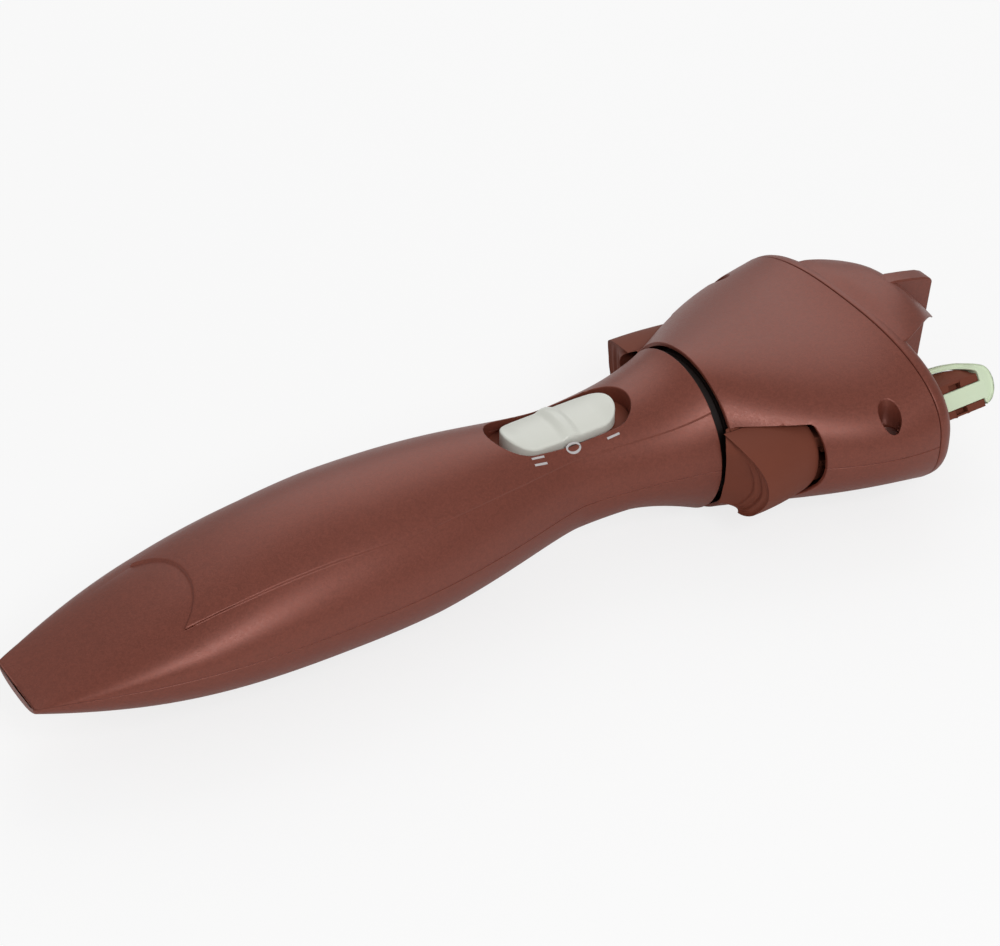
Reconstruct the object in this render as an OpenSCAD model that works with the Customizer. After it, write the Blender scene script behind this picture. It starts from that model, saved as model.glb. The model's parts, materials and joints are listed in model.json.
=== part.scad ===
// Automatic hair braider. X runs forward from the butt of the handle, Z is up, and the turning
// axis of the head is the line y = 0, z = 0 until place() stands the whole thing on its rest foot.

/* [Handle] */
// Length of the handle, butt to ring
handle_len = 169; // [160:1:180]
// Half the width of the handle at its butt
butt_half_w = 9.1; // [8:0.1:10]
// Half the width of the grip at its widest
grip_half_w = 22.8; // [22:0.1:24]
// Half the width of the waist
waist_half_w = 13.9; // [13.6:0.1:15]
// Height of the top line above the axis at the butt
butt_top = -0.8; // [-1:0.1:0]
// Height of the top line at the grip
grip_top = 19.1; // [18:0.1:21]
// Height of the top line at the waist
waist_top = 15.8; // [15.4:0.1:16.6]
// Depth of the bottom line below the axis at the butt
butt_bottom = 3.9; // [3.6:0.1:5]
// Depth of the bottom line at the grip
grip_bottom = 17.2; // [16.6:0.1:18]
// Depth of the bottom line at the waist
waist_bottom = 12.3; // [12:0.1:13]
// Radius of the round ring at the front of the handle
ring_r = 19.8; // [19.6:0.1:20.4]
// Wall thickness of all shells
wall = 2; // [1.8:0.1:2.2]
// Thickness of the plastic left behind the butt's rim
butt_wall = 8; // [6:0.5:10]

/* [Battery bay] */
// Diameter of an AA cell
cell_d = 14.5; // [14:0.1:14.5]
// Length of an AA cell with its nub
cell_len = 50.5; // [49:0.5:51]
// Front face of the rear cradle wall, measured from the butt
bay_x = 45.5; // [44:0.5:47]
// Depth of the cell axes below the turning axis
cell_drop = 3; // [2:0.5:4]
// Free width between the two cells
cell_gap = 0.4; // [0.2:0.1:0.6]
// Room at each end of a cell for its contact
contact_room = 2; // [1.8:0.1:2.4]
// Rear edge of the battery door opening
door_x = 45; // [42:1:48]
// Length of the battery door opening
door_len = 60; // [56:1:62]
// Gap around the battery door
door_gap = 0.15; // [0.1:0.05:0.3]

/* [Switch] */
// Length of the slot in the upper shell
slot_len = 37.1; // [37:0.1:38]
// Width of the slot
slot_w = 15.5; // [15:0.1:15.6]
// Front end of the slot, measured back from the ring
slot_front = 14.15; // [13.5:0.05:14.8]
// Length of the sliding button
button_len = 29; // [27:0.5:29]
// Width of the sliding button
button_w = 12.4; // [11:0.1:13]
// Height of the button's ridge above the axis
button_top = 16.5; // [16:0.1:17]
// Travel of the button to each side of its middle
button_travel = 3; // [2:0.5:3]
// Height of the pocket floor above the axis
pocket_z = 11.6; // [11:0.1:12]

/* [Drive] */
// Module of every gear tooth
gear_m = 0.5; // [0.5:0.01:0.5]
// Backlash taken off each tooth at the pitch circle
backlash = 0.14; // [0.1:0.01:0.2]
// Teeth of the motor pinion and of the small half of each compound gear
small_teeth = 12; // [12:1:12]
// Teeth of the large half of compound gear A
gear_a_teeth = 28; // [28:1:28]
// Teeth of the large half of compound gear B
gear_b_teeth = 20; // [20:1:20]
// Teeth of the output gear
output_teeth = 22; // [22:1:22]
// Teeth of the sun gear and of each hook gear
hook_teeth = 32; // [32:2:32]
// Teeth of each idler gear
idler_teeth = 20; // [20:2:20]
// Width of the gears in the handle
gear_w = 2.5; // [2.2:0.1:2.6]
// Diameter of the motor can
motor_d = 12; // [11.6:0.1:12]
// Height of the motor can across its flats
motor_h = 10; // [9.6:0.1:10]
// Length of the motor can
motor_len = 20; // [18:1:22]
// Drop of the motor axis below the turning axis
motor_drop = 4.5; // [4.5:0.1:4.5]
// Diameter of the main shaft
shaft_d = 5; // [4:0.1:5]
// Diameter of the arbors and idler pins
arbor_d = 2; // [1.6:0.1:2]
// Running clearance between a shaft and its bore, on the radius
run_gap = 0.05; // [0.04:0.01:0.08]

/* [Neck] */
// Width of the dark gap between handle and head
neck_gap = 2.6; // [2.4:0.1:3.2]
// Radius of the collar seen in that gap
collar_r = 17.5; // [17:0.1:17.6]
// Radius of the tube that the head turns on
neck_r = 13; // [12:0.1:13.5]
// Length of the tube in front of the handle
neck_len = 13; // [12:0.5:14]

/* [Head] */
// Length of the head, rear edge to front seam
head_len = 45.8; // [45:0.2:48]
// Half the width of the head at its rear
head_rear_w = 21.1; // [20.8:0.1:21.4]
// Half the width of the head at its front seam
head_front_w = 39.5; // [39:0.1:40.5]
// Half the height of the head at its rear
head_rear_h = 20.2; // [20:0.1:20.4]
// Half the height of the head at its front seam
head_front_h = 19.8; // [19.4:0.1:20.2]
// Length of the side window, from the head's rear edge
window_len = 17.6; // [17:0.2:18.4]
// Angle from the seam to the window's edge
window_angle = 31.5; // [30:0.5:32]
// Thickness of the nose cap in front of the seam
cap_len = 4.4; // [4:0.1:5]
// Reach of the roofs in front of the nose cap
roof_reach = 22.2; // [21:0.1:23]
// Thickness of the separator fin
fin_t = 4.4; // [3.6:0.1:4.8]
// Depth of the rest foot's face below the axis
foot_z = 20.8; // [20.7:0.1:21.4]
// Distance between the two screw wells
well_pitch = 66.8; // [66.6:0.1:67]
// Diameter of the screw wells
well_d = 5.2; // [5:0.1:5.4]

/* [Hooks and levers] */
// Turn of each hook about its own axis, from facing sideways to facing up
hook_tilt = 35; // [25:1:45]
// Width of the hook block
block_w = 8.2; // [7.6:0.1:8.6]
// Distance from the hook's axis to the strap's face
strap_face = 3.7; // [3.5:0.1:4]
// Width of the strap
strap_w = 4.3; // [3.8:0.1:4.6]
// Thickness of the strap
strap_t = 1.4; // [1.2:0.1:1.6]
// Diameter of the hook spindle
spindle_d = 5; // [4.6:0.1:5.2]
// Diameter of the gripper rod inside the spindle
rod_d = 2.4; // [2:0.1:2.6]
// Travel of the lever and its gripper
lever_travel = 4.5; // [3.5:0.5:4.5]
// Half the height of the lever
lever_half_h = 10.2; // [9.8:0.1:10.3]
// Wire diameter of the lever spring
spring_wire = 0.5; // [0.4:0.05:0.6]
// Coil diameter of the lever spring, centre to centre of the wire
spring_coil = 3.6; // [3.2:0.1:4]
// Turns of the lever spring
spring_turns = 6; // [5:1:7]

/* [Fasteners] */
// Diameter of a screw's shank
screw_d = 2.2; // [2:0.1:2.4]
// Diameter of a screw's head
screw_head_d = 4.6; // [4.2:0.1:4.8]
// Height of a screw's head
screw_head_h = 1.6; // [1.4:0.1:1.8]
// Clearance between pieces that only fit
fit = 0.1; // [0.05:0.05:0.15]

/* [Hidden] */
$fn = 48;
brown = "#8a5850";
brown_dark = "#70443e";
mint = "#c5dec0";
pearl = "#d9d8cc";
steel = "#b8bcc0";
brass = "#c8a45a";
dark = "#3a2422";
black = "#2a2a2c";

// Stations of the handle and head
ring_x = handle_len;
head_x = ring_x + neck_gap;
seam_x = head_x + head_len;
nose_x = seam_x + cap_len;
tip_x = nose_x + roof_reach;
door_end = door_x + door_len;
grip_wide_x = 0.42 * handle_len;
grip_high_x = 0.485 * handle_len;
grip_low_x = 0.555 * handle_len;
waist_wide_x = handle_len - 34;
waist_high_x = handle_len - 23;
waist_low_x = handle_len - 20;
seam_drop = 2.35;
seam_run = 22;

// Battery bay
cell_r = cell_d / 2;
cell_y = cell_r + cell_gap / 2;
cradle_wall = 1.4;
cradle_top = 6;
cradle_floor = -6.5;
cradle_y = cell_y + cell_r + 0.35;
cell_x = bay_x + contact_room;
bay_end = cell_x + cell_len + contact_room;

// Switch
slot_x = ring_x - slot_front - slot_len / 2;
guide_t = 2.8;
board_z = 3.6;
board_t = 1.2;
board_x = bay_end + cradle_wall + 10.9;
board_end = ring_x - 21;
board_w = 12;
switch_h = 3.6;
stem_w = 4;

// Drive stages, all measured from the handle's ring
drive_len = 15.3;
rear_plate_x = ring_x - drive_len;
plate_t = 1.2;
stage_gap = 0.4;
stage1_x = rear_plate_x + plate_t + stage_gap;
stage2_x = stage1_x + gear_w + stage_gap;
mid_plate_x = stage2_x + gear_w + stage_gap;
stage3_x = mid_plate_x + plate_t + stage_gap;
front_plate_x = stage3_x + gear_w + stage_gap;
front_plate_end = front_plate_x + plate_t;
rear_plate_top = 8.6;
post_places = [[8.5, -6.5], [-8.5, -6.5], [-10.5, 4]];
post_r = 1.3;
post_bore = 0.8;
motor_z = -motor_drop;
motor_x = rear_plate_x - motor_len;
motor_wall = 0.6;
motor_cap_t = 2;
motor_shaft_r = 0.75;
a_dist = gear_m * (small_teeth + gear_a_teeth) / 2;
gear_a_z = motor_z + a_dist;
ab_dist = gear_m * (small_teeth + gear_b_teeth) / 2;
bc_dist = gear_m * (small_teeth + output_teeth) / 2;
gear_b_z = (gear_a_z * gear_a_z + bc_dist * bc_dist - ab_dist * ab_dist) / (2 * gear_a_z);
gear_b_y = sqrt(bc_dist * bc_dist - gear_b_z * gear_b_z);
dir_ab = atan2(gear_b_z - gear_a_z, gear_b_y);
dir_bc = atan2(-gear_b_z, -gear_b_y);
sleeve_r = 3.5;
arbor_r = arbor_d / 2;
shaft_r = shaft_d / 2;
neck_bore = 10.5;
neck_end = ring_x + neck_len;
head_plate_t = 2.5;
head_plate_x = head_x + 0.4;
clip_x = head_plate_x + head_plate_t + 0.2;
clip_t = 1;
clip_groove = 0.4;

// Head gearing
sun_dist = gear_m * (hook_teeth + idler_teeth) / 2;
hook_y = 2 * sun_dist;
hook_gear_w = 3.5;
frame_t = 1.6;
frame_x = seam_x - 8.8;
hook_gear_x = frame_x + frame_t + 0.8;
bearing_x = hook_gear_x + hook_gear_w + 0.9;
bearing_t = seam_x - bearing_x - 0.2;
cap_wall = 2.2;
spindle_r = spindle_d / 2;
spindle_x = seam_x - 16.4;
bush_r = 3.2;
rod_r = rod_d / 2;
block_x = nose_x + 2.2;
block_end = nose_x + 16.7;
strap_end = nose_x + 20.7;
block_back = -2.5;
well_x = seam_x - 11.4;
well_y = well_pitch / 2;
well_floor = 3.2;
well_wall = 1.1;
boss_r = 3.2;
boss_top = 1;

// Lever
window_end = head_x + window_len;
fork_x = head_x + 20;
fork_t = 2.8;
rod_x = fork_x - 1.7;
collar_t = 1.4;
rod_collar_r = 2;
crest_x = head_x + 1.3;
crest_y = 32.6;
lever_front_y = 28.3;
lever_in_r = ring_r + 1.1;
horn_top = 13.6;
web_z = 3.2;
web_h = 3;
arm_y = [18.2, 27.6];
web_y = 23.2;
window_half_z = lever_half_h + 0.4;
window_y = head_rear_w - 8;
spring_y = 20.5;

rear_screw_x = 28;
front_screw_x = bay_end + 10.5;
handle_screw_places = [[rear_screw_x, 0], [front_screw_x, 13], [front_screw_x, -13]];
handle_boss_r = 2.8;
handle_seat_z = -6.4;

// ---- Shape of the handle and head ----

// A half size that swells from the butt to the grip, narrows to the waist and opens to the ring
function swell(x, at_butt, at_grip, at_waist, grip_x, waist_x, k) =
    x <= grip_x ? at_butt + (at_grip - at_butt) * pow(1 - pow(max(0, 1 - x / grip_x), k[0]), k[1])
    : x <= waist_x ? at_waist
        + (at_grip - at_waist) * pow(max(0, 1 - pow((x - grip_x) / (waist_x - grip_x), k[2])), k[3])
    : at_waist + (ring_r - at_waist) * pow((x - waist_x) / (handle_len - waist_x), k[4]);
function half_w(x) =
    swell(x, butt_half_w, grip_half_w, waist_half_w, grip_wide_x, waist_wide_x, [2.5, 1.05, 2, 1, 1.5]);
function top_z(x) =
    swell(x, butt_top, grip_top, waist_top, grip_high_x, waist_high_x, [1.74, 1.1, 3.3, 4, 3]);
function bottom_z(x) =
    swell(x, butt_bottom, grip_bottom, waist_bottom, grip_low_x, waist_low_x, [2.28, 0.89, 1.2, 1.46, 1.2]);
function seam_z(x) = -seam_drop * pow(max(0, 1 - x / seam_run), 2);

// A point of the handle's skin at angle a, set in by inset
function handle_point(x, a, inset) = [
    x,
    (half_w(x) - inset) * cos(a),
    seam_z(x) + sin(a) * (sin(a) >= 0 ? top_z(x) - seam_z(x) - inset : bottom_z(x) + seam_z(x) - inset)
];

// The inner skin starts butt_wall in front of the butt and falls in step with the outer one
function inner_x(x) = x + butt_wall * pow(max(0, 1 - x / 40), 2);

// Size of the head: t is 0 at its rear edge and 1 at its front seam
function head_t(x) = (x - head_x) / head_len;
function head_w(t) = head_rear_w + (head_front_w - head_rear_w) * pow(max(0, 1 - (1 - t) * (1 - t)), 1.1);
function head_h(t) = head_rear_h + (head_front_h - head_rear_h) * t - 3.5 * t * max(0, 1 - pow(t, 4));
function head_power(t) = 2 / (2 + 0.45 * t);
function bend(v, p) = sign(v) * pow(abs(v), p);
function head_point(x, a, inset, shrink = 0) = let (t = head_t(x), u = min(1, t), p = head_power(u)) [
    x,
    (head_w(u) - inset - shrink) * bend(cos(a), p),
    (head_h(u) - inset - shrink) * bend(sin(a), p)
];

function steps(n, from, to, p = 1) = [for (i = [1:n]) from + (to - from) * pow(i / n, p)];
butt_rows = 8;
door_rows = 6;
handle_rows = concat([0], steps(butt_rows, 0, door_x, 1.5), steps(door_rows, door_x, door_end),
    steps(10, door_end, handle_len));
handle_cols = 20;
window_rows = 4;
head_rows = concat([head_x], steps(window_rows, head_x, window_end), steps(7, window_end, seam_x));
quarter = concat([0], steps(3, 0, window_angle), steps(6, window_angle, 90));
half_turn = concat(quarter, [for (i = [1:9]) 180 - quarter[9 - i]]);

// ---- Builders ----

function two(a, b, c, d) = [[a, b, c], [a, c, d]];

// A wall between two grids of points. keep says which cells exist, each open edge gets a side
// wall, and a capped wall is closed at its first row.
module sheet(outer, inner, keep = function (i, j) true, capped = false) {
    rows = len(outer);
    cols = len(outer[0]);
    last = cols - 1;
    o = function (i, j) i * cols + j;
    v = function (i, j) (rows + i) * cols + j;
    has = function (i, j) i >= 0 && i < rows - 1 && j >= 0 && j < last && keep(i, j);
    cells = [for (i = [0:rows - 2], j = [0:last - 1]) if (has(i, j)) [i, j]];
    skins = [for (c = cells) let (i = c[0], j = c[1])
        each concat(two(o(i, j), o(i + 1, j), o(i + 1, j + 1), o(i, j + 1)),
                    two(v(i, j), v(i, j + 1), v(i + 1, j + 1), v(i + 1, j)))];
    edges = [for (c = cells) let (i = c[0], j = c[1]) each concat(
        has(i - 1, j) || (capped && i == 0) ? [] : two(o(i, j), o(i, j + 1), v(i, j + 1), v(i, j)),
        has(i + 1, j) ? [] : two(o(i + 1, j + 1), o(i + 1, j), v(i + 1, j), v(i + 1, j + 1)),
        has(i, j - 1) ? [] : two(o(i + 1, j), o(i, j), v(i, j), v(i + 1, j)),
        has(i, j + 1) ? [] : two(o(i, j + 1), o(i + 1, j + 1), v(i + 1, j + 1), v(i, j + 1)))];
    caps = !capped ? [] : [
        [for (j = [0:last]) o(0, j)],
        [for (j = [last:-1:0]) v(0, j)],
        [v(0, 0), o(0, 0), o(0, last), v(0, last)]
    ];
    polyhedron([for (r = concat(outer, inner)) each r], concat(skins, edges, caps), convexity = 10);
}

// A solid through closed rings of points, flat at both ends
module loft(rings) {
    n = len(rings[0]);
    sides = [for (i = [0:len(rings) - 2], j = [0:n - 1]) let (a = i * n, k = (j + 1) % n)
        each two(a + j, a + n + j, a + n + k, a + k)];
    first = [for (j = [0:n - 1]) j];
    final = [for (j = [n - 1:-1:0]) (len(rings) - 1) * n + j];
    polyhedron([for (r = rings) each r], concat(sides, [first, final]), convexity = 6);
}

// A round bar along X from x to end, centred on y and z
module bar(x, end, r, y = 0, z = 0) {
    translate([x, y, z]) rotate([0, 90, 0]) cylinder(r = r, h = end - x);
}

module tube(x, end, r, bore, y = 0, z = 0) {
    difference() {
        bar(x, end, r, y, z);
        bar(x - 1, end + 1, bore, y, z);
    }
}

module post(z, end, r, x, y) {
    translate([x, y, z]) cylinder(r = r, h = end - z);
}

module block(from, to) {
    translate(from) cube(to - from);
}

module stadium(length, width, z, h, x) {
    translate([x, 0, z]) linear_extrude(h) {
        square([length - width, width], center = true);
        for (s = [-1, 1]) translate([s * (length - width) / 2, 0]) circle(d = width);
    }
}

// Extrudes along X a shape drawn with its x as Y and its y as Z
module along(x, end) {
    translate([x, 0, 0]) rotate([90, 0, 90]) linear_extrude(end - x) children();
}

function tooth_angle(r, base) = let (a = acos(min(1, base / r))) tan(a) * 180 / PI - a;

// Outline of a gear with involute flanks of three points
function gear_outline(teeth, m, play) = let (
    pitch = m * teeth / 2,
    base = pitch * cos(20),
    tip = pitch + 0.75 * m,
    root = pitch - m,
    foot = max(root + 0.05, base),
    half = 90 / teeth - play / 2 / pitch * 180 / PI / 2 + tooth_angle(pitch, base),
    flank = [for (r = [foot, (foot + tip) / 2, tip]) [r, half - tooth_angle(r, base)]],
    space = 180 / teeth
) [for (k = [0:teeth - 1]) each concat(
    [[root, -space], [root, -flank[0][1]]], [for (i = [0:2]) [flank[i][0], -flank[i][1]]],
    [for (i = [2:-1:0]) flank[i]], [[root, flank[0][1]]]
) + [for (i = [0:8]) [0, k * 360 / teeth]]];

// A gear from x on. turn is the angle of its first tooth, from +Y towards +Z
module gear(teeth, x, w, bore, turn = 0, y = 0, z = 0) {
    translate([0, y, z]) rotate([turn, 0, 0]) difference() {
        along(x, x + w)
            polygon([for (p = gear_outline(teeth, gear_m, backlash)) p[0] * [cos(p[1]), sin(p[1])]]);
        if (bore > 0) bar(x - 1, x + w + 1, bore);
    }
}

// Angle of the tooth that lets a gear mesh with its neighbour: dir points from the first gear to it
function meshed(turn, teeth, dir, next) = dir + 180 - 180 / next + (teeth / next) * (dir - turn);

// A coil spring along X, with a round wire of six sides
module coil(x, length, turns, ring, wire, y, z) {
    per = 12;
    sides = 6;
    count = turns * per;
    rings = [for (i = [0:count]) let (a = 360 * i / per, s = x + wire / 2 + (length - wire) * i / count)
        [for (j = [0:sides - 1]) let (b = 360 * j / sides, r = ring / 2 + wire / 2 * cos(b))
            [s + wire / 2 * sin(b), y + r * cos(a), z + r * sin(a)]]];
    loft([for (i = [count:-1:0]) rings[i]]);
}

// A thin lead along hand-placed points, with eight sides
module lead(points, r) {
    n = len(points);
    rings = [for (i = [0:n - 1]) let (
        d = points[min(n - 1, i + 1)] - points[max(0, i - 1)],
        u = cross([0, 0, 1], d) / norm(cross([0, 0, 1], d)),
        w = cross(d, u) / norm(d)
    ) [for (j = [0:7]) points[i] + r * (u * cos(45 * j) + w * sin(45 * j))]];
    loft(rings);
}

// Stands the whole object on its rest foot, with the origin under its middle
module place() {
    translate([-tip_x / 2, 0, foot_z]) children();
}

// Draws the left side as it is written and the right side as its mirror image
module on_side(side) {
    if (side > 0) children();
    else mirror([0, 1, 0]) children();
}

// ---- Handle ----

function handle_grid(rows, angles, inset) =
    [for (x = rows) [for (a = angles) handle_point(inset > 0 ? inner_x(x) : x, a, inset)]];

module handle_half(from, keep) {
    angles = [for (j = [0:handle_cols]) from + 180 * j / handle_cols];
    sheet(handle_grid(handle_rows, angles, 0), handle_grid(handle_rows, angles, wall), keep, true);
}

// How far a screw boss reaches up or down into the wall, which slopes away on its outer side
function boss_reach(p, height) =
    (height - wall) * sqrt(1 - pow((abs(p[1]) + handle_boss_r) / (half_w(p[0]) - wall), 2)) + wall / 2;

module handle_upper_shell() {
    color(brown) difference() {
        union() {
            handle_half(0, function (i, j) true);
            for (p = handle_screw_places) post(0, boss_reach(p, top_z(p[0])), handle_boss_r, p[0], p[1]);
        }
        stadium(slot_len, slot_w, 4, 30, slot_x);
        for (p = handle_screw_places) post(-1, 6, screw_d / 2, p[0], p[1]);
    }
}

module handle_lower_shell() {
    color(brown) difference() {
        union() {
            handle_half(180, function (i, j)
                !(i >= butt_rows && i < butt_rows + door_rows && j >= 5 && j < 15));
            for (p = handle_screw_places) post(-boss_reach(p, bottom_z(p[0])), 0, handle_boss_r, p[0], p[1]);
        }
        for (p = handle_screw_places) {
            post(handle_seat_z - 1, 1, screw_d / 2 + fit, p[0], p[1]);
            post(-30, handle_seat_z, screw_head_d / 2 + fit, p[0], p[1]);
        }
    }
}

module battery_door() {
    play = door_gap / grip_half_w * 180 / PI;
    rows = concat([door_x + door_gap], steps(6, door_x + door_gap, door_end - door_gap));
    angles = [for (j = [0:10]) 225 + play + (90 - 2 * play) * j / 10];
    color(brown) sheet(handle_grid(rows, angles, 0), handle_grid(rows, angles, wall));
}

module handle_screws() {
    color(steel) for (p = handle_screw_places) {
        post(handle_seat_z - screw_head_h, handle_seat_z, screw_head_d / 2, p[0], p[1]);
        post(handle_seat_z, 5, screw_d / 2, p[0], p[1]);
    }
}

// ---- Battery bay ----

// One cell from its flat end to its nub
module cell(side) {
    nub = 1;
    flip = side > 0 ? 0 : 180;
    color("#7f9aa8") translate([cell_x + cell_len / 2, side * cell_y, -cell_drop]) rotate([0, 0, flip]) {
        bar(-cell_len / 2, cell_len / 2 - nub, cell_r);
        bar(cell_len / 2 - nub, cell_len / 2, 2.75);
    }
}

module battery_cell_left() cell(1);
module battery_cell_right() cell(-1);

module battery_cradle() {
    out_y = cradle_y + cradle_wall;
    color(black) {
        block([bay_x - cradle_wall, -out_y, cradle_floor], [bay_x, out_y, cradle_top]);
        block([bay_end, -out_y, cradle_floor], [bay_end + cradle_wall, out_y, cradle_top]);
        block([bay_x - 0.5, -out_y, cradle_top - cradle_wall], [bay_end + 0.5, out_y, cradle_top]);
        for (s = [0, 1]) mirror([0, s, 0]) {
            block([bay_x - 0.5, cradle_y, cradle_floor], [bay_end + 0.5, out_y, cradle_top]);
            for (x = [bay_x + 5, bay_end - 10])
                block([x, out_y - 0.5, -0.9], [x + 4, half_w(x) - wall - 2 * fit, 0.9]);
        }
    }
}

contact_t = 0.4;

module contact_springs() {
    length = contact_room - contact_t;
    color(steel) {
        coil(bay_x + contact_t, length, 2, 6, 0.6, cell_y, -cell_drop);
        coil(bay_end - contact_room, length, 2, 6, 0.6, -cell_y, -cell_drop);
    }
}

module contact_plates() {
    tall = [-cell_drop - 3.4, -cell_drop + 3.4];
    color(steel) {
        block([bay_x, -cell_y - 4, tall[0]], [bay_x + contact_t, cell_y + 4, tall[1]]);
        for (y = [-cell_y, cell_y])
            block([bay_end - contact_t, y - 4, tall[0]], [bay_end, y + 4, tall[1]]);
        bar(bay_x + contact_t, bay_x + contact_room, 2, -cell_y, -cell_drop);
        bar(bay_end - contact_room, bay_end - contact_t, 2, cell_y, -cell_drop);
    }
}

// Two leads from the bay to the board and two from the board to the motor
module power_leads() {
    r = 0.6;
    wall_x = bay_end + cradle_wall;
    cap_x = motor_x - motor_cap_t;
    above = board_z + board_t + r;
    color("#a03030") for (s = [0, 1]) mirror([0, s, 0]) {
        lead([[wall_x, 6, 0], [wall_x + 1, 6, 0], [wall_x + 3.5, 6, 1], [wall_x + 7, 5.4, 4],
            [board_x - 1, 5, above], [board_x + 3, 4.6, above]], r);
        lead([[cap_x, 2.5, motor_z + 1.5], [cap_x - 1, 2.5, motor_z + 1.5],
            [cap_x - 3, 2.7, motor_z + 2.3], [cap_x - 6, 3, motor_z + 4], [cap_x - 9, 3, 2],
            [cap_x - 11, 3, board_z - r], [cap_x - 13, 3, board_z - r]], r);
    }
}

// ---- Switch ----

module switch_button() {
    bottom = pocket_z + 0.3;
    dish_r = 24;
    dish_depth = 1.3;
    color(pearl) difference() {
        stadium(button_len, button_w, bottom, button_top - bottom, slot_x);
        for (s = [-1, 1]) translate([slot_x + s * 10.3, 0, button_top - dish_depth + dish_r])
            rotate([90, 0, 0]) cylinder(r = dish_r, h = 40, center = true, $fn = 96);
        translate([slot_x, 0, bottom]) cube([stem_w + fit, stem_w + fit, 2.2], center = true);
    }
}

module switch_carriage() {
    top = pocket_z + 1.3;
    foot_top = pocket_z - guide_t - 0.05;
    color(black) {
        block([slot_x - 4.5, -2.8, foot_top - 0.3], [slot_x + 4.5, 2.8, foot_top]);
        block([slot_x - stem_w / 2, -stem_w / 2, foot_top - 0.1], [slot_x + stem_w / 2, stem_w / 2, top]);
    }
}

module switch_guide() {
    flange = 1;
    low = pocket_z - guide_t;
    run = stem_w / 2 + button_travel + 0.3;
    color(brown_dark) difference() {
        union() {
            stadium(slot_len - 2 * fit, slot_w - 2 * fit, low, guide_t, slot_x);
            stadium(slot_len + 0.9, slot_w + 0.9, low, flange, slot_x);
            for (x = [-16, 16], y = [-4.5, 4.5]) post(board_z + board_t, low + 0.1, 1.2, slot_x + x, y);
        }
        block([slot_x - run, -stem_w / 2 - fit, low - 1], [slot_x + run, stem_w / 2 + fit, pocket_z + 1]);
    }
}

module slide_switch_body() {
    base = board_z + board_t;
    color(steel) block([slot_x - 6, -3, base], [slot_x + 6, 3, base + switch_h]);
}

module circuit_board() {
    color("#2f6b46") block([board_x, -board_w / 2, board_z], [board_end, board_w / 2, board_z + board_t]);
}

// ---- Motor and gearbox ----

module motor_section(inset) {
    intersection() {
        circle(d = motor_d - 2 * inset);
        square([motor_d, motor_h - 2 * inset], center = true);
    }
}

module motor_can() {
    color(steel) difference() {
        translate([0, 0, motor_z]) difference() {
            along(motor_x, rear_plate_x) motor_section(0);
            along(motor_x - 1, rear_plate_x - motor_wall) motor_section(motor_wall);
        }
        bar(motor_x, rear_plate_x + 1, motor_shaft_r + run_gap, 0, motor_z);
    }
}

module motor_end_cap() {
    color(black) difference() {
        translate([0, 0, motor_z]) along(motor_x - motor_cap_t, motor_x) motor_section(0);
        bar(motor_x - 3, motor_x + 1, motor_shaft_r + run_gap, 0, motor_z);
    }
}

module motor_shaft() {
    color(steel) bar(motor_x - motor_cap_t, stage1_x + gear_w, motor_shaft_r, 0, motor_z);
}

module motor_core() {
    core_r = motor_h / 2 - motor_wall - 0.4;
    color("#b0703c") tube(motor_x + 1.5, rear_plate_x - 2, core_r, motor_shaft_r, 0, motor_z);
}

module motor_pinion() {
    color(brass) gear(small_teeth, stage1_x, gear_w, motor_shaft_r, 0, 0, motor_z);
}

// An oval plate that fits inside the handle's skin at x
function oval(x) = [for (a = [0:7.5:359]) [
    (half_w(x) - wall - fit) * cos(a),
    (sin(a) > 0 ? top_z(x) - wall - fit : bottom_z(x) - wall - fit) * sin(a)
]];

module arbor_places(r_a, r_b, from, end) {
    bar(from, end, r_a, 0, gear_a_z);
    bar(from, end, r_b, gear_b_y, gear_b_z);
}

module gearbox_rear_plate() {
    from = rear_plate_x;
    color(steel) difference() {
        intersection() {
            along(from, from + plate_t) polygon(oval(from));
            block([from - 1, -30, -30], [from + plate_t + 1, 30, rear_plate_top]);
        }
        bar(from - 1, from + plate_t + 1, 1.6, 0, motor_z);
        bar(from - 1, from + plate_t + 1, arbor_r, 0, gear_a_z);
        for (p = post_places) bar(from - 1, from + plate_t + 1, post_bore, p[0], p[1]);
    }
}

module gearbox_mid_plate() {
    from = mid_plate_x;
    color(steel) difference() {
        along(from, from + plate_t) polygon(oval(from));
        bar(from - 1, from + plate_t + 1, sleeve_r + run_gap);
        arbor_places(arbor_r, 2.5, from - 1, from + plate_t + 1);
    }
}

module gearbox_front_plate() {
    from = front_plate_x;
    color(steel) difference() {
        along(from, front_plate_end) polygon(oval(from));
        bar(from - 1, front_plate_end + 1, sleeve_r + run_gap);
        bar(from - 1, front_plate_end + 1, arbor_r, gear_b_y, gear_b_z);
    }
}

module gearbox_posts() {
    color(brass) for (p = post_places) {
        tube(rear_plate_x + plate_t, mid_plate_x, post_r, post_bore, p[0], p[1]);
        bar(mid_plate_x + plate_t, front_plate_x, post_r, p[0], p[1]);
    }
}

module gearbox_screws() {
    color(steel) for (p = post_places) {
        bar(rear_plate_x - 0.8, rear_plate_x, 1.5, p[0], p[1]);
        bar(rear_plate_x, rear_plate_x + 5, post_bore, p[0], p[1]);
    }
}

module gear_arbors() {
    color(steel) {
        bar(rear_plate_x, mid_plate_x + plate_t, arbor_r, 0, gear_a_z);
        bar(stage2_x, front_plate_end, arbor_r, gear_b_y, gear_b_z);
    }
}

// A compound gear on an arbor: a large half, a plain hub and a small half
module compound(large, large_x, large_turn, small_x, small_turn, hub_r, y, z) {
    hub_from = large_x + gear_w;
    color("#e6e2d2") {
        gear(large, large_x, gear_w, arbor_r + run_gap, large_turn, y, z);
        gear(small_teeth, small_x, gear_w, arbor_r + run_gap, small_turn, y, z);
        tube(hub_from, small_x, hub_r, arbor_r + run_gap, y, z);
    }
}

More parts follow.
